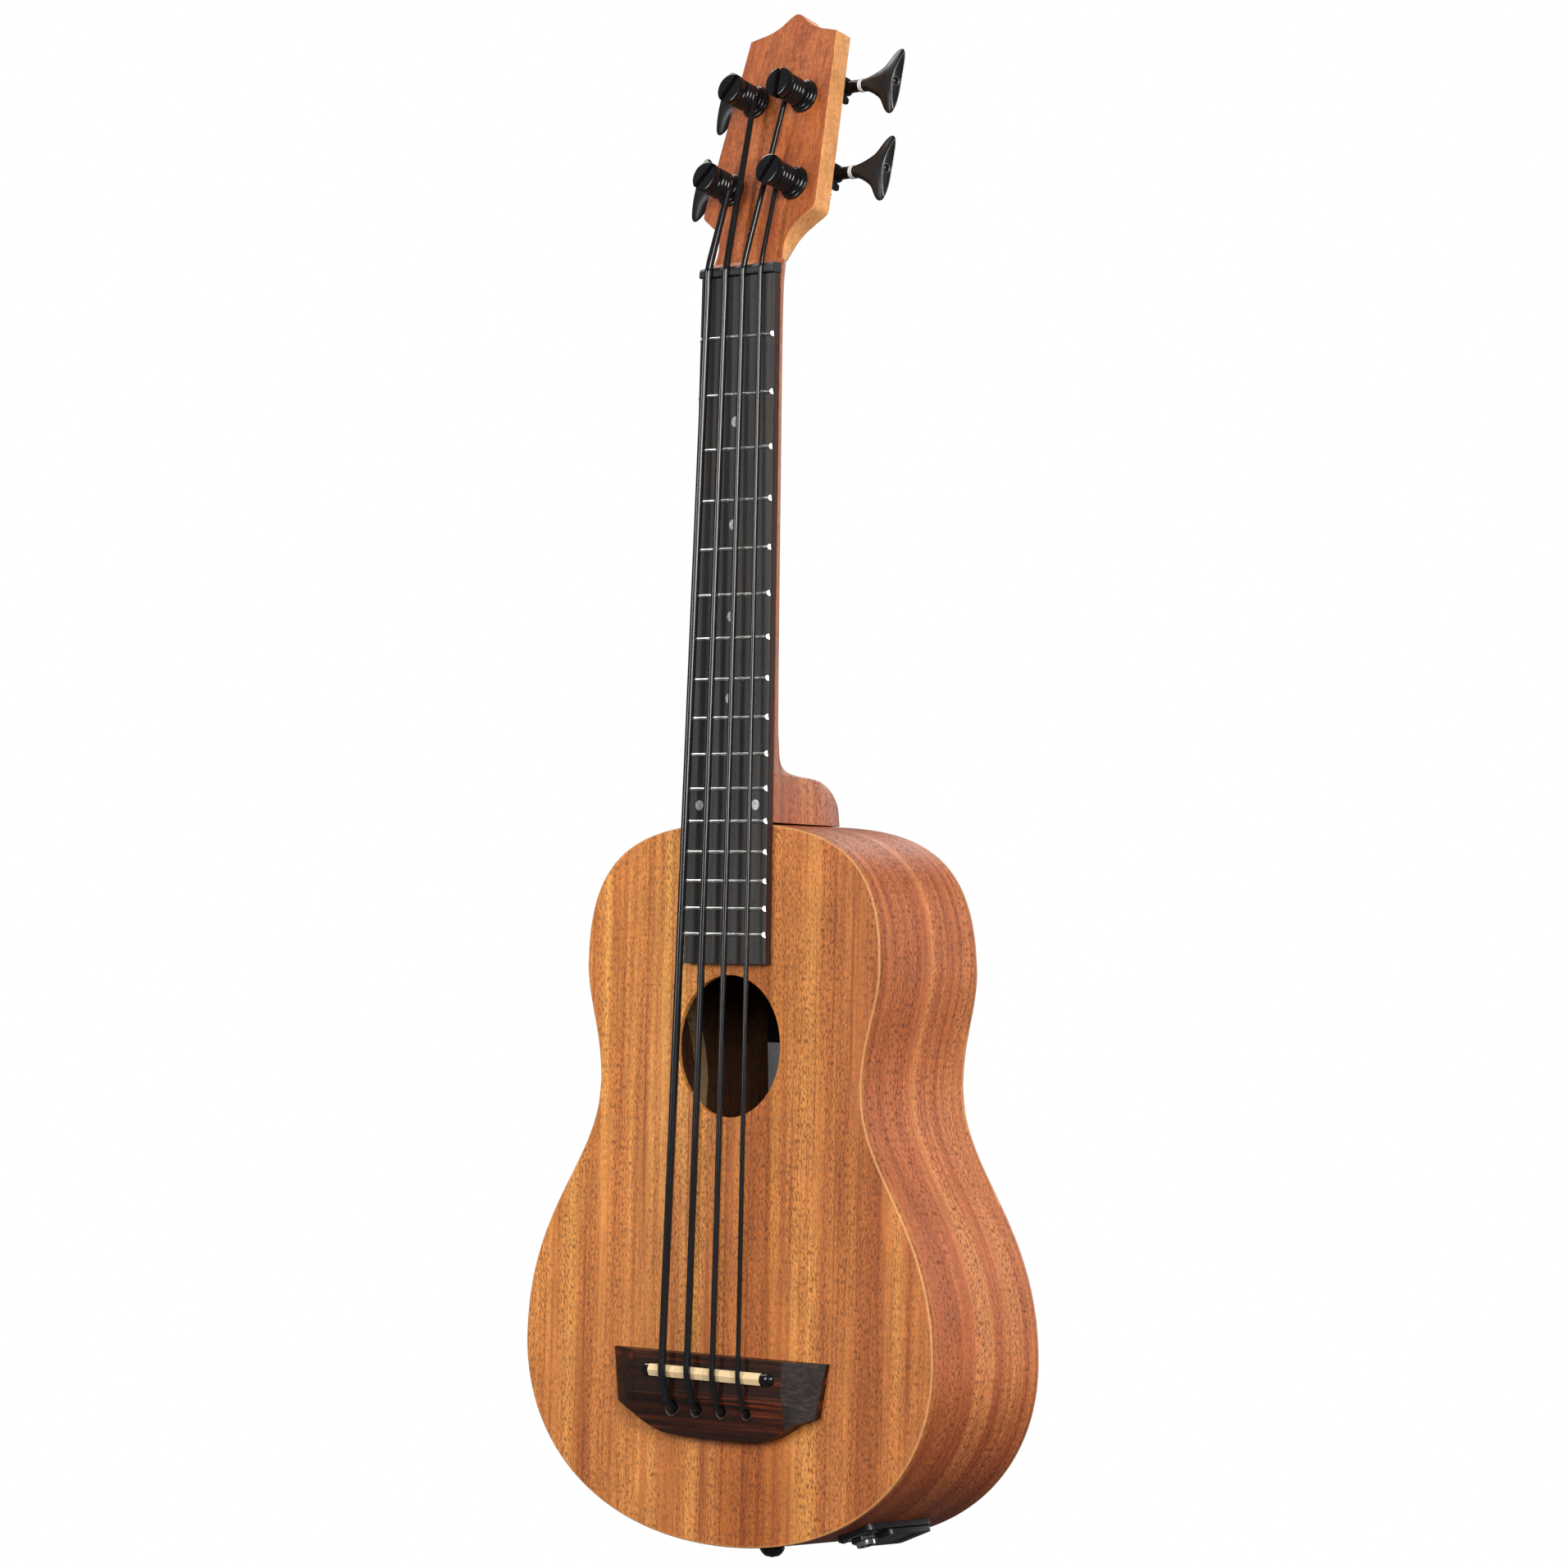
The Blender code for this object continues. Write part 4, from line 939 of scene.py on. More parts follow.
def make_nut():
    """The nut: a bar with a sloped upper edge and a round groove for each string."""
    half = NUT_WIDTH / 2 + 0.3 * MM
    profile = (
        (TOP_FRONT - SEAM, 0.1), (-1.3 * MM, 0.1), (-1.75 * MM, 0.35), (-1.9 * MM, 0.8), (-1.9 * MM, 2.0),
        (-1.85 * MM, 2.9), (-1.55 * MM, 3.8), (-1.0 * MM, 4.6), (-0.5 * MM, 4.8), (TOP_FRONT - SEAM, 4.8),
    )
    count = 240
    xs = [-half + 2 * half * k / count for k in range(count + 1)]
    sections = []
    for x in xs:
        groove = 0.0
        for name, radius in STRING_RADII.items():
            off = abs(x - string_x(name, NUT_SPACING))
            fit = radius + 0.25 * MM
            if off < fit:
                floor = -(1.1 * MM + radius) + math.sqrt(fit**2 - off**2)
                groove = max(groove, floor + NUT_RISE)
        round_end = max(0.0, abs(x) - half + 0.5 * MM)
        sink = 0.5 * MM - math.sqrt(max((0.5 * MM) ** 2 - round_end**2, 0))
        ring = [
            Vector((x, min(max(y, -NUT_RISE + groove) + (sink if y < 0 else 0), TOP_FRONT), z * MM))
            for y, z in profile
        ]
        sections.append(ring)
    loft("nut_bar", sections, "nut", stands_for=("nut",), sharp=28)


# ---------------------------------------------------------------- strings


def tuner_spot(name):
    """A post's place across and along the headstock's face, read from its joint."""
    local = HEAD.inverted() @ Vector(JOINTS[f"tuner_post_{name}_turn"]["pos_m"])
    return local.x, local.z


def string_path(name):
    """A string's centre line: off its post, over the nut and the saddle and down its hole in the bridge."""
    radius = STRING_RADII[name]
    x, s = tuner_spot(name)
    start = HEAD @ Vector((x - math.copysign(POST_WAIST + wrap_radius(name), x), -WRAP_HEIGHT, s))
    nut_x, saddle_x = string_x(name, NUT_SPACING), string_x(name, SADDLE_SPACING)
    nut_y = -(1.1 * MM + radius)
    over_nut = [
        Vector((nut_x, nut_y + 0.5 * MM, NUT_LENGTH - 0.6 * MM)),
        Vector((nut_x, nut_y, NUT_LENGTH * 0.4)),
        Vector((nut_x, nut_y, -6 * MM)),
    ]
    lead = start.lerp(over_nut[0], 0.9)
    lead.y -= 0.25 * MM
    crest = SADDLE_CREST - 0.05 * MM - radius
    edge = BRIDGE_TOP - 0.4 * MM - radius
    mouth = 1.7 * radius + MM
    tail = (
        (crest + 0.15 * MM, SADDLE_Z + 7 * MM),
        (crest, SADDLE_Z),
        ((crest + edge) / 2 - 0.2 * MM, SADDLE_Z - 6 * MM),
        (edge, HOLE_ROW_Z + 6.6 * MM),
        (edge + 0.7 * MM, HOLE_ROW_Z + mouth - 0.3 * MM),
        (BRIDGE_TOP + 1.5 * MM, HOLE_ROW_Z + 0.3 * mouth),
        (BRIDGE_TOP + 5.5 * MM, HOLE_ROW_Z),
        (TOP_FRONT + 9 * MM, HOLE_ROW_Z),
    )
    front = [start, *smooth([lead, *over_nut], 6)]
    return front, smooth([Vector((saddle_x, y, z)) for y, z in tail], 6)


def wrap_radius(name):
    """A string's radius where it is stretched round its post."""
    return 1.1 * MM + 0.4 * (STRING_RADII[name] - MM)


def make_strings():
    """The strings, thinner where they stretch towards their posts, and the turns wound on each post."""
    for name, radius in STRING_RADII.items():
        front, tail = string_path(name)
        path = [front[0], front[0].lerp(front[1], 0.35), *front[1:], *tail]
        thin = (radius + wrap_radius(name)) / 2
        radii = [wrap_radius(name), thin] + [radius] * (len(path) - 2)
        tube(f"string_{name}_cord", path, radii, "string", stands_for=(f"string_{name}",))
        wind_string(name)


def wind_string(name):
    """The turns of a string round its post."""
    radius = wrap_radius(name)
    x, s = tuner_spot(name)
    place = HEAD @ Matrix.Translation((x, 0, s)) @ Matrix.Rotation(math.pi / 2, 4, "X")
    turns, per_turn, low, high = 4, 40, 4.9 * MM + radius, 16.0 * MM - radius
    steps = turns * per_turn
    sections = []
    for k in range(steps + 1):
        share = k / steps
        angle = 2 * math.pi * turns * share + (0 if x < 0 else math.pi)
        rise = low + (high - low) * share
        out = Vector((math.cos(angle), math.sin(angle), 0))
        centre = out * (POST_WAIST + radius + 0.3 * MM) + Vector((0, 0, rise))
        ends = min(1.0, 0.35 + 6 * min(share, 1 - share) * turns)
        loop = []
        for m in range(14):
            b = 2 * math.pi * m / 14
            loop.append(place @ (centre + radius * ends * (out * math.cos(b) + Vector((0, 0, math.sin(b))))))
        sections.append(loop)
    loft(f"string_{name}_turns", sections, "string", body=f"tuner_post_{name}")


# ---------------------------------------------------------------- bridge


def bridge_bottom(x):
    """The bridge's lower edge: flat in the middle, curving up to the wings."""
    reach = abs(x) / MM
    rows = (
        (0, -560.8), (17, -560.8), (33, -559.6), (41, -557.3), (48, -554), (54, -550.4), (66, -546.4),
        (71, -546.0)
    )
    for (a, low), (b, high) in zip(rows, rows[1:]):
        if reach <= b:
            t = (reach - a) / (b - a)
            return (low + (high - low) * t) * MM
    return rows[-1][1] * MM


def bridge_crest(x):
    """The bridge's front face: level in the middle and sloping away over the wings."""
    return BRIDGE_TOP + max(abs(x) - BRIDGE_WING, 0) * WING_SLOPE


def make_bridge():
    """The rosewood bridge: block, sloped wings and the lower slope behind its step."""
    low_tip, tip, count = 66 * MM, 71 * MM, 96
    xs = [BRIDGE_WING * (2 * k / count - 1) for k in range(count + 1)]
    side = [BRIDGE_WING + (low_tip - BRIDGE_WING) * k / 10 for k in range(1, 11)]
    xs = [-x for x in reversed(side)] + xs + side
    base = TOP_FRONT - SEAM
    top_z = -520.4 * MM
    sections = []
    for x in xs:
        share = max(abs(x) - BRIDGE_WING, 0) / (low_tip - BRIDGE_WING)
        high_x = x + (tip - low_tip) * share * math.copysign(1, x)
        low = bridge_bottom(x)
        step_z = max(STEP_Z, low + 1.2 * MM)
        step_x = x + (high_x - x) * (step_z - low) / (top_z - low)
        fall = STEP_DROP + (STEP_Z - low) * LOWER_SLOPE
        sections.append(
            [
                Vector((high_x, base, top_z)),
                Vector((high_x, bridge_crest(high_x), top_z)),
                Vector((step_x, bridge_crest(step_x), step_z)),
                Vector((step_x, max(BRIDGE_TOP + STEP_DROP, bridge_crest(step_x)), step_z - 0.15 * MM)),
                Vector((x, max(BRIDGE_TOP + fall, bridge_crest(x)), low)),
                Vector((x, base, low)),
            ]
        )
    bridge = loft("bridge_wood", sections, "rosewood", stands_for=("bridge",), sharp=20)
    cutters = []
    for name, radius in STRING_RADII.items():
        place = Matrix.Translation((string_x(name, SADDLE_SPACING), 0, HOLE_ROW_Z))
        place = place @ Matrix.Rotation(-math.pi / 2, 4, "X")
        mouth, fit = 1.7 * radius / MM + 1, radius / MM + 0.6
        top = BRIDGE_TOP / MM
        funnel = ((mouth, top - 1), (mouth, top + 2.4), (fit, top + 4.2), (fit, 3.9))
        cutters.append(turned(f"cut_mouth_{name}", funnel, place, "rosewood", steps=40))
    store_grain(carve(bridge, *cutters), along_x)
    # Only the treble wing's front gets the greyer copy: painted sheen on the side that faces the key light.
    paint(bridge, "rosewood_painted_sheen", lambda face: face.center.x > BRIDGE_WING and face.normal.y < -0.6)
    soften(bridge, 0.3, 2, 32)
    slope = math.atan(LOWER_SLOPE)
    for name, radius in STRING_RADII.items():
        place = Matrix.Translation((string_x(name, SADDLE_SPACING), 0, HOLE_ROW_Z))
        place = place @ Matrix.Rotation(math.pi / 2 - slope, 4, "X")
        mouth = 1.7 * radius / MM + 1
        drop = BRIDGE_TOP + STEP_DROP + LOWER_SLOPE * (STEP_Z - HOLE_ROW_Z)
        level = -drop / MM * math.cos(slope)
        lip = (
            (mouth - 0.1, level - 0.9), (mouth + 0.22, level - 0.02), (mouth + 0.1, level + 0.07),
            (mouth - 0.3, level - 0.1), (mouth - 0.4, level - 0.9),
        )
        turned(f"hole_ring_{name}", lip, place, "ring", closed=True)


def make_saddle():
    """The ivory saddle in four blocks, its dark seams and the glossy black ends that hold it."""
    half, thick = 37.4, 2.9 * MM
    base = BRIDGE_TOP + 1 * MM
    shoulder, crest = SADDLE_CREST + 1.3 * MM, SADDLE_CREST

    def ring(x, shrink=0.0):
        points = ((base, thick), (base, -thick), (shoulder, -thick), (crest, 0), (shoulder, thick))
        middle = (base + crest) / 2
        scaled = [(middle + (y - middle) * (1 - shrink), dz * (1 - shrink)) for y, dz in points]
        return [Vector((x * MM, y, SADDLE_Z + dz)) for y, dz in scaled]

    stands = ("saddle",)
    width = 2 * half / 4
    for k in range(4):
        low, high = -half + k * width + 0.2, -half + (k + 1) * width - 0.2
        block = loft(f"saddle_block_{k}", [ring(low), ring(high)], "ivory", stands_for=stands)
        soften(block, 0.15, 2, 30)
        stands = ()
    loft("saddle_core", [ring(-half + 0.5, 0.3), ring(half - 0.5, 0.3)], "ivory_seam")
    for sign in (-1, 1):
        sections = []
        for k in range(17):
            share = k / 16
            reach = half + 0.1 + 7.2 * share
            narrow = math.sqrt(max(1 - max(share - 0.35, 0) ** 2 / 0.65**2, 0.0004))
            sections.append(
                [
                    Vector(
                        (
                            sign * reach * MM, base + (y - base) * (0.25 + 0.75 * narrow),
                            SADDLE_Z + dz * (0.3 + 0.7 * narrow)
                        )
                    )
                    for y, dz in end_profile(base, crest + 0.4 * MM, 3.1 * MM)
                ]
            )
        stands = ("saddle_tray",) if sign > 0 else ()
        loft(f"saddle_end_{'g' if sign > 0 else 'e'}", sections, "gloss", stands_for=stands, sharp=50)


def end_profile(base, top, half):
    """The rounded cross section of the saddle's black ends."""
    arc = [math.pi * k / 10 for k in range(11)]
    rise = half * 0.8
    return [
        (base, half), (base, -half),
        *((top + rise - rise * math.sin(a), -half * math.cos(a)) for a in arc)
    ]


# ---------------------------------------------------------------- tuners


SLOT_TURNS = {"e": 50, "a": 55, "d": 93, "g": 60}


def make_tuner(name):
    """One open-gear tuner: front bushing, back plate with ears, post, gear, worm and key."""
    x, s = tuner_spot(name)
    side = math.copysign(1, x)
    place = HEAD @ Matrix.Translation((x, 0, s))
    forward = place @ Matrix.Rotation(math.pi / 2, 4, "X")
    make_housing(name, place, forward, side)
    make_post(name, forward)
    across = place @ Matrix.Translation((0, KEY_DEPTH, KEY_RISE)) @ Matrix.Rotation(
        side * math.pi / 2, 4, "Y"
    )
    make_key(name, across)


def make_housing(name, place, forward, side):
    """The plate, ears, screws and threaded bushing, all fixed to the headstock."""
    back, top = HEAD_THICKNESS / MM + 0.05, HEAD_THICKNESS / MM + 2.1
    backward = place @ Matrix.Rotation(-math.pi / 2, 4, "X")
    inner, outer, low, high = -10, 11.4, -13, 18
    outline = rounded_rectangle(
        (outer - inner) / 2 * MM, (high - low) / 2 * MM, 4 * MM,
        (side * (outer + inner) / 2 * MM, -(high + low) / 2 * MM)
    )
    plate = prism(
        f"tuner_plate_{name}", outline, back * MM, top * MM, "tuner", backward,
        stands_for=(f"tuner_housing_{name}",)
    )
    soften(plate, 0.5, 3)
    for label, centre, foot in (("inner", -7.5, 4.4), ("outer", 8.5, 8.0)):
        arc = [math.radians(180 * k / 12) for k in range(13)]
        rise = KEY_RISE / MM
        ear = [
            (rise - foot, top - 0.2), (rise - foot, KEY_DEPTH / MM + 2.4),
            (rise - foot + 2.6, KEY_DEPTH / MM + 2.4)
        ]
        ear += [(rise - 4.4 * math.cos(a), KEY_DEPTH / MM + 4.2 * math.sin(a)) for a in arc]
        ear += [(rise + 4.4, top - 0.2)]
        sections = []
        for dx in (-1.25, 1.25):
            sections.append([place @ Vector((side * (centre + dx) * MM, y * MM, z * MM)) for z, y in ear])
        soften(loft(f"tuner_ear_{label}_{name}", sections, "tuner"), 0.3, 2)
    bushing = (
        (3.75, -0.5), (3.75, 3.0), (4.0, 3.15), (6.4, 3.15), (7.0, 2.95), (7.5, 2.4), (7.75, 1.5),
        (8.2, 1.35), (8.4, 1.05), (8.4, 0.3), (8.25, 0.05), (8.25, -0.5),
    )
    turned(f"tuner_bushing_{name}", bushing, forward, "tuner", closed=True, sharp=50)
    for k, (dx, dz) in enumerate(((-6.3, -9.3), (8.5, -9.3), (-6.3, 14.4), (8.5, 14.4))):
        seat = backward @ Matrix.Translation((side * dx * MM, -dz * MM, top * MM))
        screw(f"tuner_screw_{name}_{k}", seat, 1.9, "tuner", turn=0.5 * k)


def make_post(name, forward):
    """The string post with its slotted cap, and the toothed gear on its other end."""
    gear_back, gear_front = -(KEY_DEPTH / MM + 1.5), -(KEY_DEPTH / MM - 1.5)
    height = POST_HEIGHT / MM
    profile = (
        (3.6, gear_front - 0.5), (3.6, 3.3), (6.1, 3.35), (6.4, 3.55), (6.4, 3.95), (6.1, 4.3),
        (4.6, 4.7), (4.0, 5.2),
        (4.0, 15.4), (4.8, 15.9), (7.0, 16.2), (7.4, 16.45), (7.55, 17.0), (7.55, height - 0.6),
        (7.4, height - 0.22), (7.1, height - 0.04), (6.7, height), (0.02, height),
    )
    post = turned(
        f"post_{name}_cap", profile, forward, "tuner", body=f"tuner_post_{name}",
        stands_for=(f"tuner_post_{name}",),
        sharp=50,
    )
    turn = forward @ Matrix.Rotation(math.radians(SLOT_TURNS[name]), 4, "Z")
    slot = rounded_rectangle(10 * MM, 1.5 * MM, 0.2 * MM, steps=1)
    cutter = prism(
        "cut_slot", slot, (height - 3.9) * MM, (height + 5) * MM, "tuner", turn, body=f"tuner_post_{name}"
    )
    soften(carve(post, cutter), 0.15, 2, 50)
    teeth = 20
    ring = []
    for k in range(teeth):
        for share, radius in ((0.0, 5.6), (0.22, 5.7), (0.36, 6.6), (0.64, 6.6), (0.78, 5.7)):
            angle = 2 * math.pi * (k + share) / teeth
            ring.append((radius * MM * math.cos(angle), radius * MM * math.sin(angle)))
    gear = prism(
        f"post_{name}_gear", ring, gear_back * MM, gear_front * MM, "stem", forward,
        body=f"tuner_post_{name}"
    )
    soften(gear, 0.15, 1)
    end = forward @ Matrix.Translation((0, 0, gear_back * MM)) @ Matrix.Rotation(math.pi, 4, "X")
    screw(f"post_{name}_screw", end, 2.6, "tuner", body=f"tuner_post_{name}")


def make_key(name, across):
    """The key: worm, stem, pale washers and a fishtail button with a notched end and its screw."""
    body = f"tuner_key_{name}"
    worm = []
    pitch, turns = 2.2, 5
    for k in range(turns * 10 + 1):
        height = -5.5 + 11 * k / (turns * 10)
        worm.append((2.45 + 0.45 * math.cos(2 * math.pi * height / pitch), height))
    profile = ((0.05, -9.6), (1.8, -9.5), (2.25, -9.2), (2.25, -5.7), *worm, (2.25, 5.7), (2.25, 10.4))
    turned(f"key_{name}_shaft", profile, across, "stem", body=body, sharp=60)
    collar = (
        (2.3, 10.0), (3.1, 10.1), (3.3, 10.4), (3.2, 11.4), (3.05, 12.2), (3.0, 18.0), (3.1, 18.3),
        (3.1, 21.2),
        (2.3, 21.4),
    )
    turned(f"key_{name}_stem", collar, across, "stem", closed=True, body=body, sharp=60)
    for k, height in enumerate((18.95, 20.25)):
        washer = [(2.5, -0.5), (3.25, -0.5), (3.38, -0.35), (3.38, 0.35), (3.25, 0.5), (2.5, 0.5)]
        washer = [(radius, height + rise) for radius, rise in washer]
        turned(f"key_{name}_washer_{k}", washer, across, "washer", closed=True, body=body, sharp=60)
    rows = (
        # distance from the post, half width, half thickness, notch depth
        (21.0, 3.1, 3.0, 0),
        (23, 3.4, 3.2, 0),
        (26, 4.4, 3.4, 0),
        (29.5, 6.2, 3.55, 0),
        (33, 8.6, 3.65, 0),
        (35.2, 11.4, 3.7, 0.1),
        (37.2, 14.2, 3.7, 0.5),
        (39, 16.0, 3.7, 0.9),
        (40.7, 16.7, 3.65, 1.3),
        (42.2, 16.4, 3.6, 1.7),
        (43.1, 15.6, 3.55, 1.9),
    )
    line = [tuple(row) for row in smooth([Vector(row) for row in rows], 4)]
    rim_row = len(line)
    line += [
        (43.6, 14.9, 3.4, 1.95), (43.75, 14.5, 3.2, 1.95), (43.5, 14.0, 2.9, 1.95), (43.3, 8, 1.5, 1.95),
        (43.3, 0.3, 0.1, 1.95),
    ]
    sections = []
    for height, wide, thick, notch in line:
        lens = min(max((height - 26) / 12, 0), 1)
        blunt = 0.7 * lens
        loop = []
        for k in range(56):
            angle = 2 * math.pi * k / 56
            rise = math.cos(angle) * wide
            bulge = abs(math.sin(angle))
            out = (thick - blunt) * bulge ** (1 + 0.9 * lens) + blunt * bulge ** 0.5
            out = math.copysign(out, math.sin(angle))
            sink = notch * (1 - (min(abs(rise) / 16.8, 1)) ** 1.3)
            loop.append(across @ Vector((rise * MM, out * MM, (height - sink) * MM)))
        sections.append(loop)
    button = loft(
        f"key_{name}_button", sections, "key", body=body, stands_for=(f"tuner_key_{name}",), sharp=32
    )
    size = len(sections[0])
    # The rows where the end face meets the button's sides get the grey rim finish: a painted highlight line.
    paint(
        button, "rim",
        lambda face: rim_row <= min(face.vertices) // size <= rim_row + 1 and len(face.vertices) == 4
    )
    screw(f"key_{name}_screw", across @ Matrix.Translation((0, 0, 41.25 * MM)), 1.9, "tuner", body=body)
    # A thin grey ring round the key's screw, in the rim finish: a painted highlight.
    ring = ((1.95, 41.0), (2.35, 41.0), (2.4, 41.5), (2.25, 41.65), (2.0, 41.55))
    turned(f"key_{name}_screw_ring", ring, across, "rim", closed=True, body=body, sharp=60)


# ---------------------------------------------------------------- fittings


def make_strap_button():
    """The tail's strap button."""
    place = Matrix.Translation((0, 42 * MM, BODY_BOTTOM)) @ Matrix.Rotation(math.pi, 4, "X")
    profile = (
        (0.8, -20), (1.8, -17), (1.8, 0.05), (5.0, 0.05), (5.2, 0.3), (4.9, 0.8), (4.7, 1.2), (5.0, 1.8),
        (5.9, 2.4),
        (6.2, 2.9), (6.15, 3.4), (5.6, 4.5), (4.6, 5.8), (3.7, 6.6), (3.2, 6.9), (2.6, 7.05), (0.02, 7.1),
    )
    turned("strap_button_turned", profile, place, "tuner", stands_for=("strap_button",), sharp=60)
    screw("strap_button_screw", place @ Matrix.Translation((0, 0, 6.6 * MM)), 1.9, "tuner")


def make_jack_module():
    """The jack plate with its screws, the threaded jack with its nut, and the battery drawer."""
    top = 2.4
    outline = rounded_rectangle(12 * MM, 22.5 * MM, 4 * MM)
    plate = prism("jack_cover", outline, -1 * MM, top * MM, "plastic", JACK, stands_for=("jack_plate",))
    at_jack = JACK @ Matrix.Translation((0, JACK_Y, 0))
    hole = turned("cut_jack", ((4.9, -5), (4.9, 8)), at_jack, "plastic", steps=40)
    window = rounded_rectangle(9.6 * MM, 14.2 * MM, 0.5 * MM, (0, DRAWER_Y), steps=2)
    opening = prism("cut_drawer", window, -5 * MM, 8 * MM, "plastic", JACK)
    soften(carve(plate, hole, opening), 0.45, 3)
    for k, (dx, dy) in enumerate(((-9.2, -19.2), (9.2, -19.2))):
        screw(
            f"jack_screw_{k}", JACK @ Matrix.Translation((dx * MM, dy * MM, top * MM)), 1.7, "tuner",
            turn=0.3 + k
        )
    barrel = (
        (6.6, -22), (6.6, -3.2), (4.6, -3.2), (4.6, 7.2), (4.4, 7.6), (3.7, 7.6), (3.5, 7.4), (3.5, -18),
        (2, -18), (2, -22)
    )
    turned("jack_barrel", barrel, at_jack, "nickel", closed=True, stands_for=("output_jack",), sharp=40)
    washer = ((4.7, top + 0.02), (7.4, top + 0.02), (7.5, top + 0.3), (7.3, top + 0.6), (4.7, top + 0.6))
    turned("jack_washer", washer, at_jack, "nickel", closed=True)
    hexagon = [(p.x, p.y) for p in circle(6.9 * MM, 0, 6)]
    nut = prism("jack_nut", hexagon, (top + 0.65) * MM, (top + 3.1) * MM, "tuner", at_jack)
    bore = turned("cut_nut", ((4.65, 0), (4.65, 10)), at_jack, "tuner", steps=40)
    soften(carve(nut, bore), 0.35, 2)

    door = rounded_rectangle(11 * MM, 14.5 * MM, 2.5 * MM, (0, DRAWER_Y))
    lid = prism(
        "drawer_door", door, (top + 0.3) * MM, DOOR_TOP, "plastic", JACK, body="battery_drawer",
        stands_for=("battery_drawer",)
    )
    grips = []
    for k in range(4):
        ridge = rounded_rectangle(8 * MM, 0.45 * MM, 0.4 * MM, (0, DRAWER_Y + (8.6 - 1.7 * k) * MM), steps=3)
        grips.append(
            prism(f"cut_grip_{k}", ridge, DOOR_TOP - 0.5 * MM, 9 * MM, "plastic", JACK, body="battery_drawer")
        )
    soften(carve(lid, *grips), 0.3, 3)
    half_x, half_y, wall = 9.4, 14.0, 1.0
    tray = prism(
        "drawer_tray", rounded_rectangle(half_x * MM, half_y * MM, 0.4 * MM, (0, DRAWER_Y), steps=2),
        -53 * MM, (top + 0.5) * MM, "plastic", JACK, body="battery_drawer",
    )
    well = [
        ((-half_x + wall) * MM, DRAWER_Y - (half_y + 5) * MM),
        ((half_x + 5) * MM, DRAWER_Y - (half_y + 5) * MM),
        ((half_x + 5) * MM, DRAWER_Y + (half_y - wall) * MM),
        ((-half_x + wall) * MM, DRAWER_Y + (half_y - wall) * MM),
    ]
    cut = prism("cut_well", well, -52 * MM, 1.6 * MM, "plastic", JACK, body="battery_drawer")
    soften(carve(tray, cut), 0.2, 2)
    cell = rounded_rectangle(8.3 * MM, 12.9 * MM, 2.2 * MM, (0.3 * MM, DRAWER_Y - 0.4 * MM))
    block = prism(
        "battery_cell", cell, -51.6 * MM, -5.5 * MM, "battery", JACK, body="battery_drawer",
        stands_for=("battery",)
    )
    soften(block, 0.6, 3)
    for k, (dy, radius) in enumerate(((-6.2, 3.6), (6.2, 2.9))):
        spot = JACK @ Matrix.Translation((0.3 * MM, DRAWER_Y + dy * MM, -5.5 * MM))
        snap = (
            (radius, -0.5), (radius, 1.2), (radius * 0.85, 2.4), (radius * 0.5, 2.4),
            (radius * 0.45, 1.2), (0.05, 1.2)
        )
        turned(f"battery_snap_{k}", snap, spot, "nickel", body="battery_drawer")


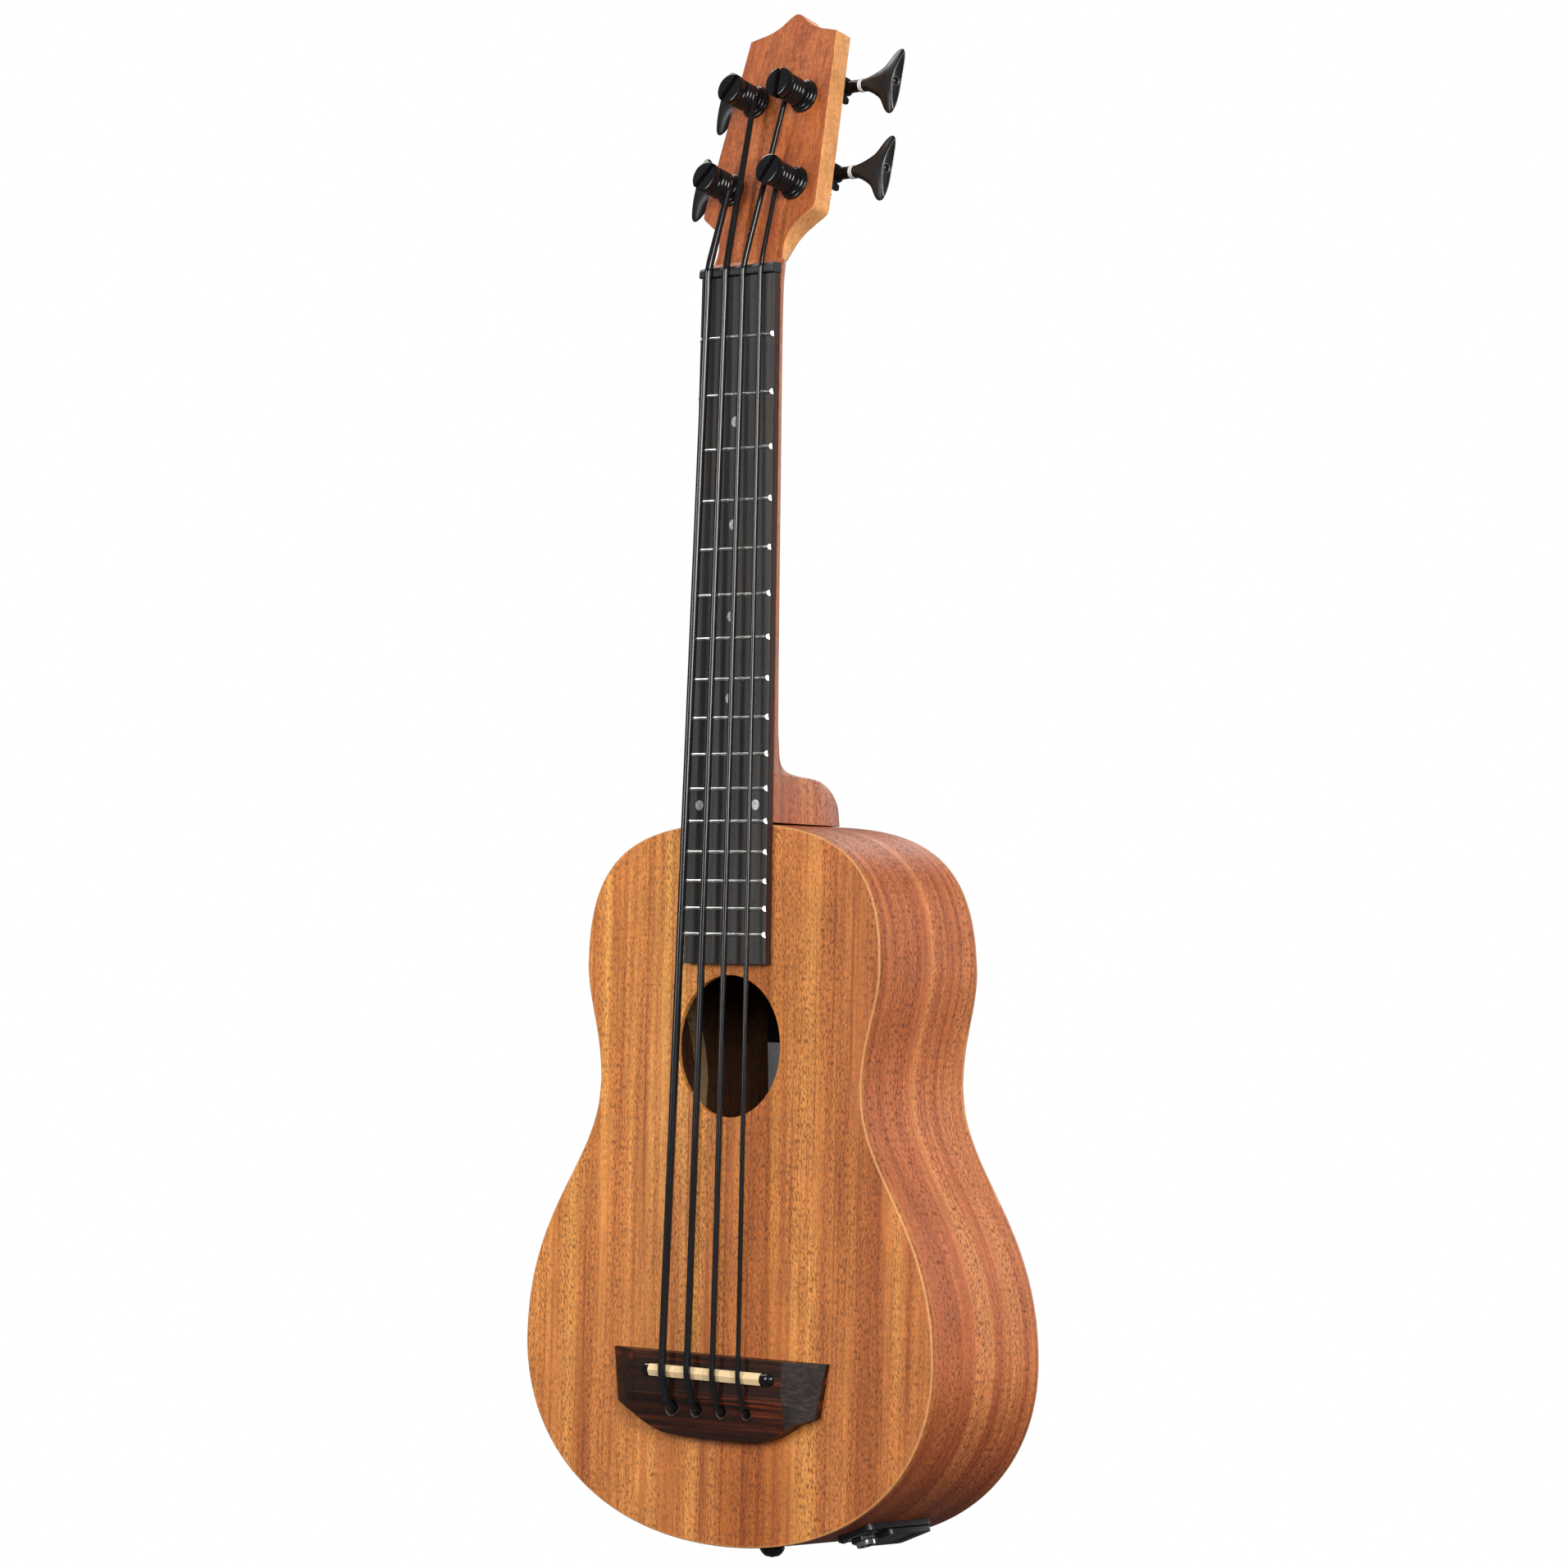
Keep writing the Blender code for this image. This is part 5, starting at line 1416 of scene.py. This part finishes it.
def make_preamp():
    """The control panel on the upper bass side, with ribbed knobs, a button and a lamp."""
    reach_y = 17 * MM
    rows = []
    for outer, skin, inner in zip(RIM, inset_rim(-2.1 * MM), inset_rim(12 * MM)):
        if outer.x < 0 and abs(outer.y - PANEL_Z) < 31.5 * MM and outer.y > -380 * MM:
            rows.append((outer, skin, inner))
    rows.sort(key=lambda row: -row[0].y)
    sections = []
    for outer, skin, inner in rows:
        ring = []
        for y, out in ((-1, 0), (-1, 0.7), (-0.94, 1), (0.94, 1), (1, 0.7), (1, 0)):
            point = outer.lerp(skin, out)
            ring.append(Vector((point.x, PANEL_Y + y * reach_y, point.y)))
        sections.append(ring)
    panel = loft("control_panel", sections, "plastic", stands_for=("preamp_panel",), sharp=60)
    soften(panel, 0.6, 3, 50)
    box_low, box_high = Vector((PANEL_X + 3 * MM, 0, PANEL_Z - 24 * MM)), Vector(
        (PANEL_X + 13 * MM, 0, PANEL_Z + 24 * MM)
    )
    case = [
        (box_low.x, box_low.z), (box_high.x, box_low.z), (box_high.x, box_high.z), (box_low.x, box_high.z)
    ]
    sides = [[Vector((x, y, z)) for x, z in case] for y in (PANEL_Y - 13 * MM, PANEL_Y + 13 * MM)]
    soften(loft("circuit_box", sides, "plastic"), 0.8, 3)
    for name, rise in (("volume_knob", KNOB_OFFSET), ("tone_knob", -KNOB_OFFSET)):
        place = Matrix.Translation((PANEL_X, PANEL_Y, PANEL_Z + rise)) @ Matrix.Rotation(-math.pi / 2, 4, "Y")
        ribs = 30
        ring = []
        for k in range(ribs * 4):
            radius = 7.0 - 0.32 * (0.5 + 0.5 * math.cos(2 * math.pi * k / 4))
            angle = 2 * math.pi * k / (ribs * 4)
            ring.append((radius, angle))
        sections = []
        for height, scale in ((2.6, 0.985), (3.0, 1.0), (8.6, 0.985), (9.2, 0.95), (9.5, 0.88)):
            sections.append(
                [
                    place @ Vector((r * scale * math.cos(a) * MM, r * scale * math.sin(a) * MM, height * MM))
                    for r, a in ring
                ]
            )
        loft(f"{name}_cap", sections, "plastic", body=name, stands_for=(name,), sharp=50)
        mark = rounded_rectangle(2.2 * MM, 0.35 * MM, 0.3 * MM, (4.0 * MM, 0), steps=3)
        prism(f"{name}_mark", mark, 9.4 * MM, 9.58 * MM, "washer", place, body=name)
        turned(f"{name}_stem", ((3, -7), (3, 2.7)), place, "plastic", body=name)
    place = Matrix.Translation((PANEL_X, PANEL_Y + 9 * MM, PANEL_Z)) @ Matrix.Rotation(-math.pi / 2, 4, "Y")
    button = ((2.6, -7), (2.6, 3.9), (2.45, 4.3), (2.1, 4.55), (0.02, 4.6))
    turned(
        "tuner_button_cap", button, place, "gloss", body="tuner_button", stands_for=("tuner_button",),
        sharp=60
    )
    lamp = Matrix.Translation((PANEL_X, PANEL_Y - 9 * MM, PANEL_Z)) @ Matrix.Rotation(-math.pi / 2, 4, "Y")
    turned(
        "panel_lamp", ((1.5, 1.5), (1.5, 2.4), (1.2, 2.9), (0.6, 3.15), (0.02, 3.2)), lamp, "pearl",
        sharp=60
    )


def dress_hidden_parts():
    """Finishes for the CAD parts inside the body, which keep their own shapes."""
    for name, finish in (
        ("neck_block", "spruce"), ("tail_block", "spruce"), ("lining_top", "spruce"),
        ("lining_back", "spruce"),
        ("top_brace_upper", "spruce"), ("top_brace_lower", "spruce"), ("back_brace", "spruce"),
        ("bridge_patch", "spruce"), ("pickup_strip", "nickel"),
    ):
        for slot in NODES[name].material_slots:
            slot.material = FINISHES[finish][0]


# ---------------------------------------------------------------- studio


def make_studio():
    """A seamless white room that only the camera sees, an even sky and six soft lights."""
    bm = bmesh.new()
    bmesh.ops.create_icosphere(bm, subdivisions=5, radius=9)
    floor = CAD_BOUNDS[0].z - FLOOR_DROP
    for vertex in bm.verts:
        vertex.co.z = max(vertex.co.z, floor)
    mesh = bpy.data.meshes.new("white_room")
    bm.to_mesh(mesh)
    bm.free()
    mesh.shade_smooth()
    room = bpy.data.objects.new("white_room", mesh)
    bpy.context.scene.collection.objects.link(room)
    material = bpy.data.materials.new("white_room")
    material.use_nodes = True
    shader = material.node_tree.nodes["Principled BSDF"]
    shader.inputs["Base Color"].default_value = (0, 0, 0, 1)
    shader.inputs["Specular IOR Level"].default_value = 0
    shader.inputs["Emission Color"].default_value = (1, 1, 1, 1)
    shader.inputs["Emission Strength"].default_value = 1.0
    mesh.materials.append(material)
    room.visible_diffuse = False
    room.visible_glossy = False
    room.visible_shadow = False
    room.visible_transmission = False

    world = bpy.data.worlds.new("sky")
    bpy.context.scene.world = world
    world.use_nodes = True
    world.node_tree.nodes["Background"].inputs["Color"].default_value = (1, 1, 1, 1)
    world.node_tree.nodes["Background"].inputs["Strength"].default_value = 0.11
    aim = Vector((0, 20 * MM, -260 * MM))
    for name, place, size, power in (
        ("key", (2.35, -1.5, 0.5), (1.2, 1.4), 90),
        ("fill", (-0.7, -2.1, 0.25), (0.5, 1.2), 25),
        ("front", (1.1, -2.25, 0.35), (0.5, 0.5), 8),
        ("shoulder", (-1.6, -0.1, 1.65), (1.0, 1.0), 24),
        ("rim", (0.5, 2.3, 0.0), (1.3, 1.5), 22),
        ("back", (-0.9, 2.3, 0.9), (1.2, 1.2), 16),
    ):
        light = bpy.data.lights.new(name, "AREA")
        light.shape = "RECTANGLE"
        light.size, light.size_y = size
        light.energy = power
        lamp = bpy.data.objects.new(name, light)
        lamp.location = place
        lamp.rotation_euler = (aim - Vector(place)).to_track_quat("-Z", "Y").to_euler()
        bpy.context.scene.collection.objects.link(lamp)


def make_camera():
    """The camera, from its direction, distance and roll about the point it looks at."""
    azimuth, elevation, roll = math.radians(43.68), math.radians(-2.03), math.radians(1.168)
    target, distance = Vector((18.5 * MM, 20 * MM, -245.4 * MM)), 2573 * MM
    back = Vector(
        (
            math.sin(azimuth) * math.cos(elevation), -math.cos(azimuth) * math.cos(elevation),
            math.sin(elevation)
        )
    )
    right = Vector((math.cos(azimuth), math.sin(azimuth), 0))
    up = back.cross(right)
    turned_right = right * math.cos(roll) + up * math.sin(roll)
    turned_up = up * math.cos(roll) - right * math.sin(roll)
    data = bpy.data.cameras.new("camera")
    data.lens = 122.5
    data.sensor_width = 36
    data.clip_end = 50
    camera = bpy.data.objects.new("camera", data)
    axes = Matrix((turned_right, turned_up, back)).transposed().to_4x4()
    camera.matrix_world = Matrix.Translation(target + back * distance) @ axes
    bpy.context.scene.collection.objects.link(camera)
    bpy.context.scene.camera = camera
    bpy.context.scene.view_settings.view_transform = "Standard"


# ---------------------------------------------------------------- assembly

make_camera()
make_studio()
make_top()
make_back()
make_side("side_treble", 1, ("rib_treble",))
make_side("side_bass", -1, ("rib_bass",))
make_label()
make_neck()
make_fingerboard()
make_frets()
make_nut()
make_strings()
make_bridge()
make_saddle()
for string in STRING_RADII:
    make_tuner(string)
make_strap_button()
make_jack_module()
make_preamp()
dress_hidden_parts()
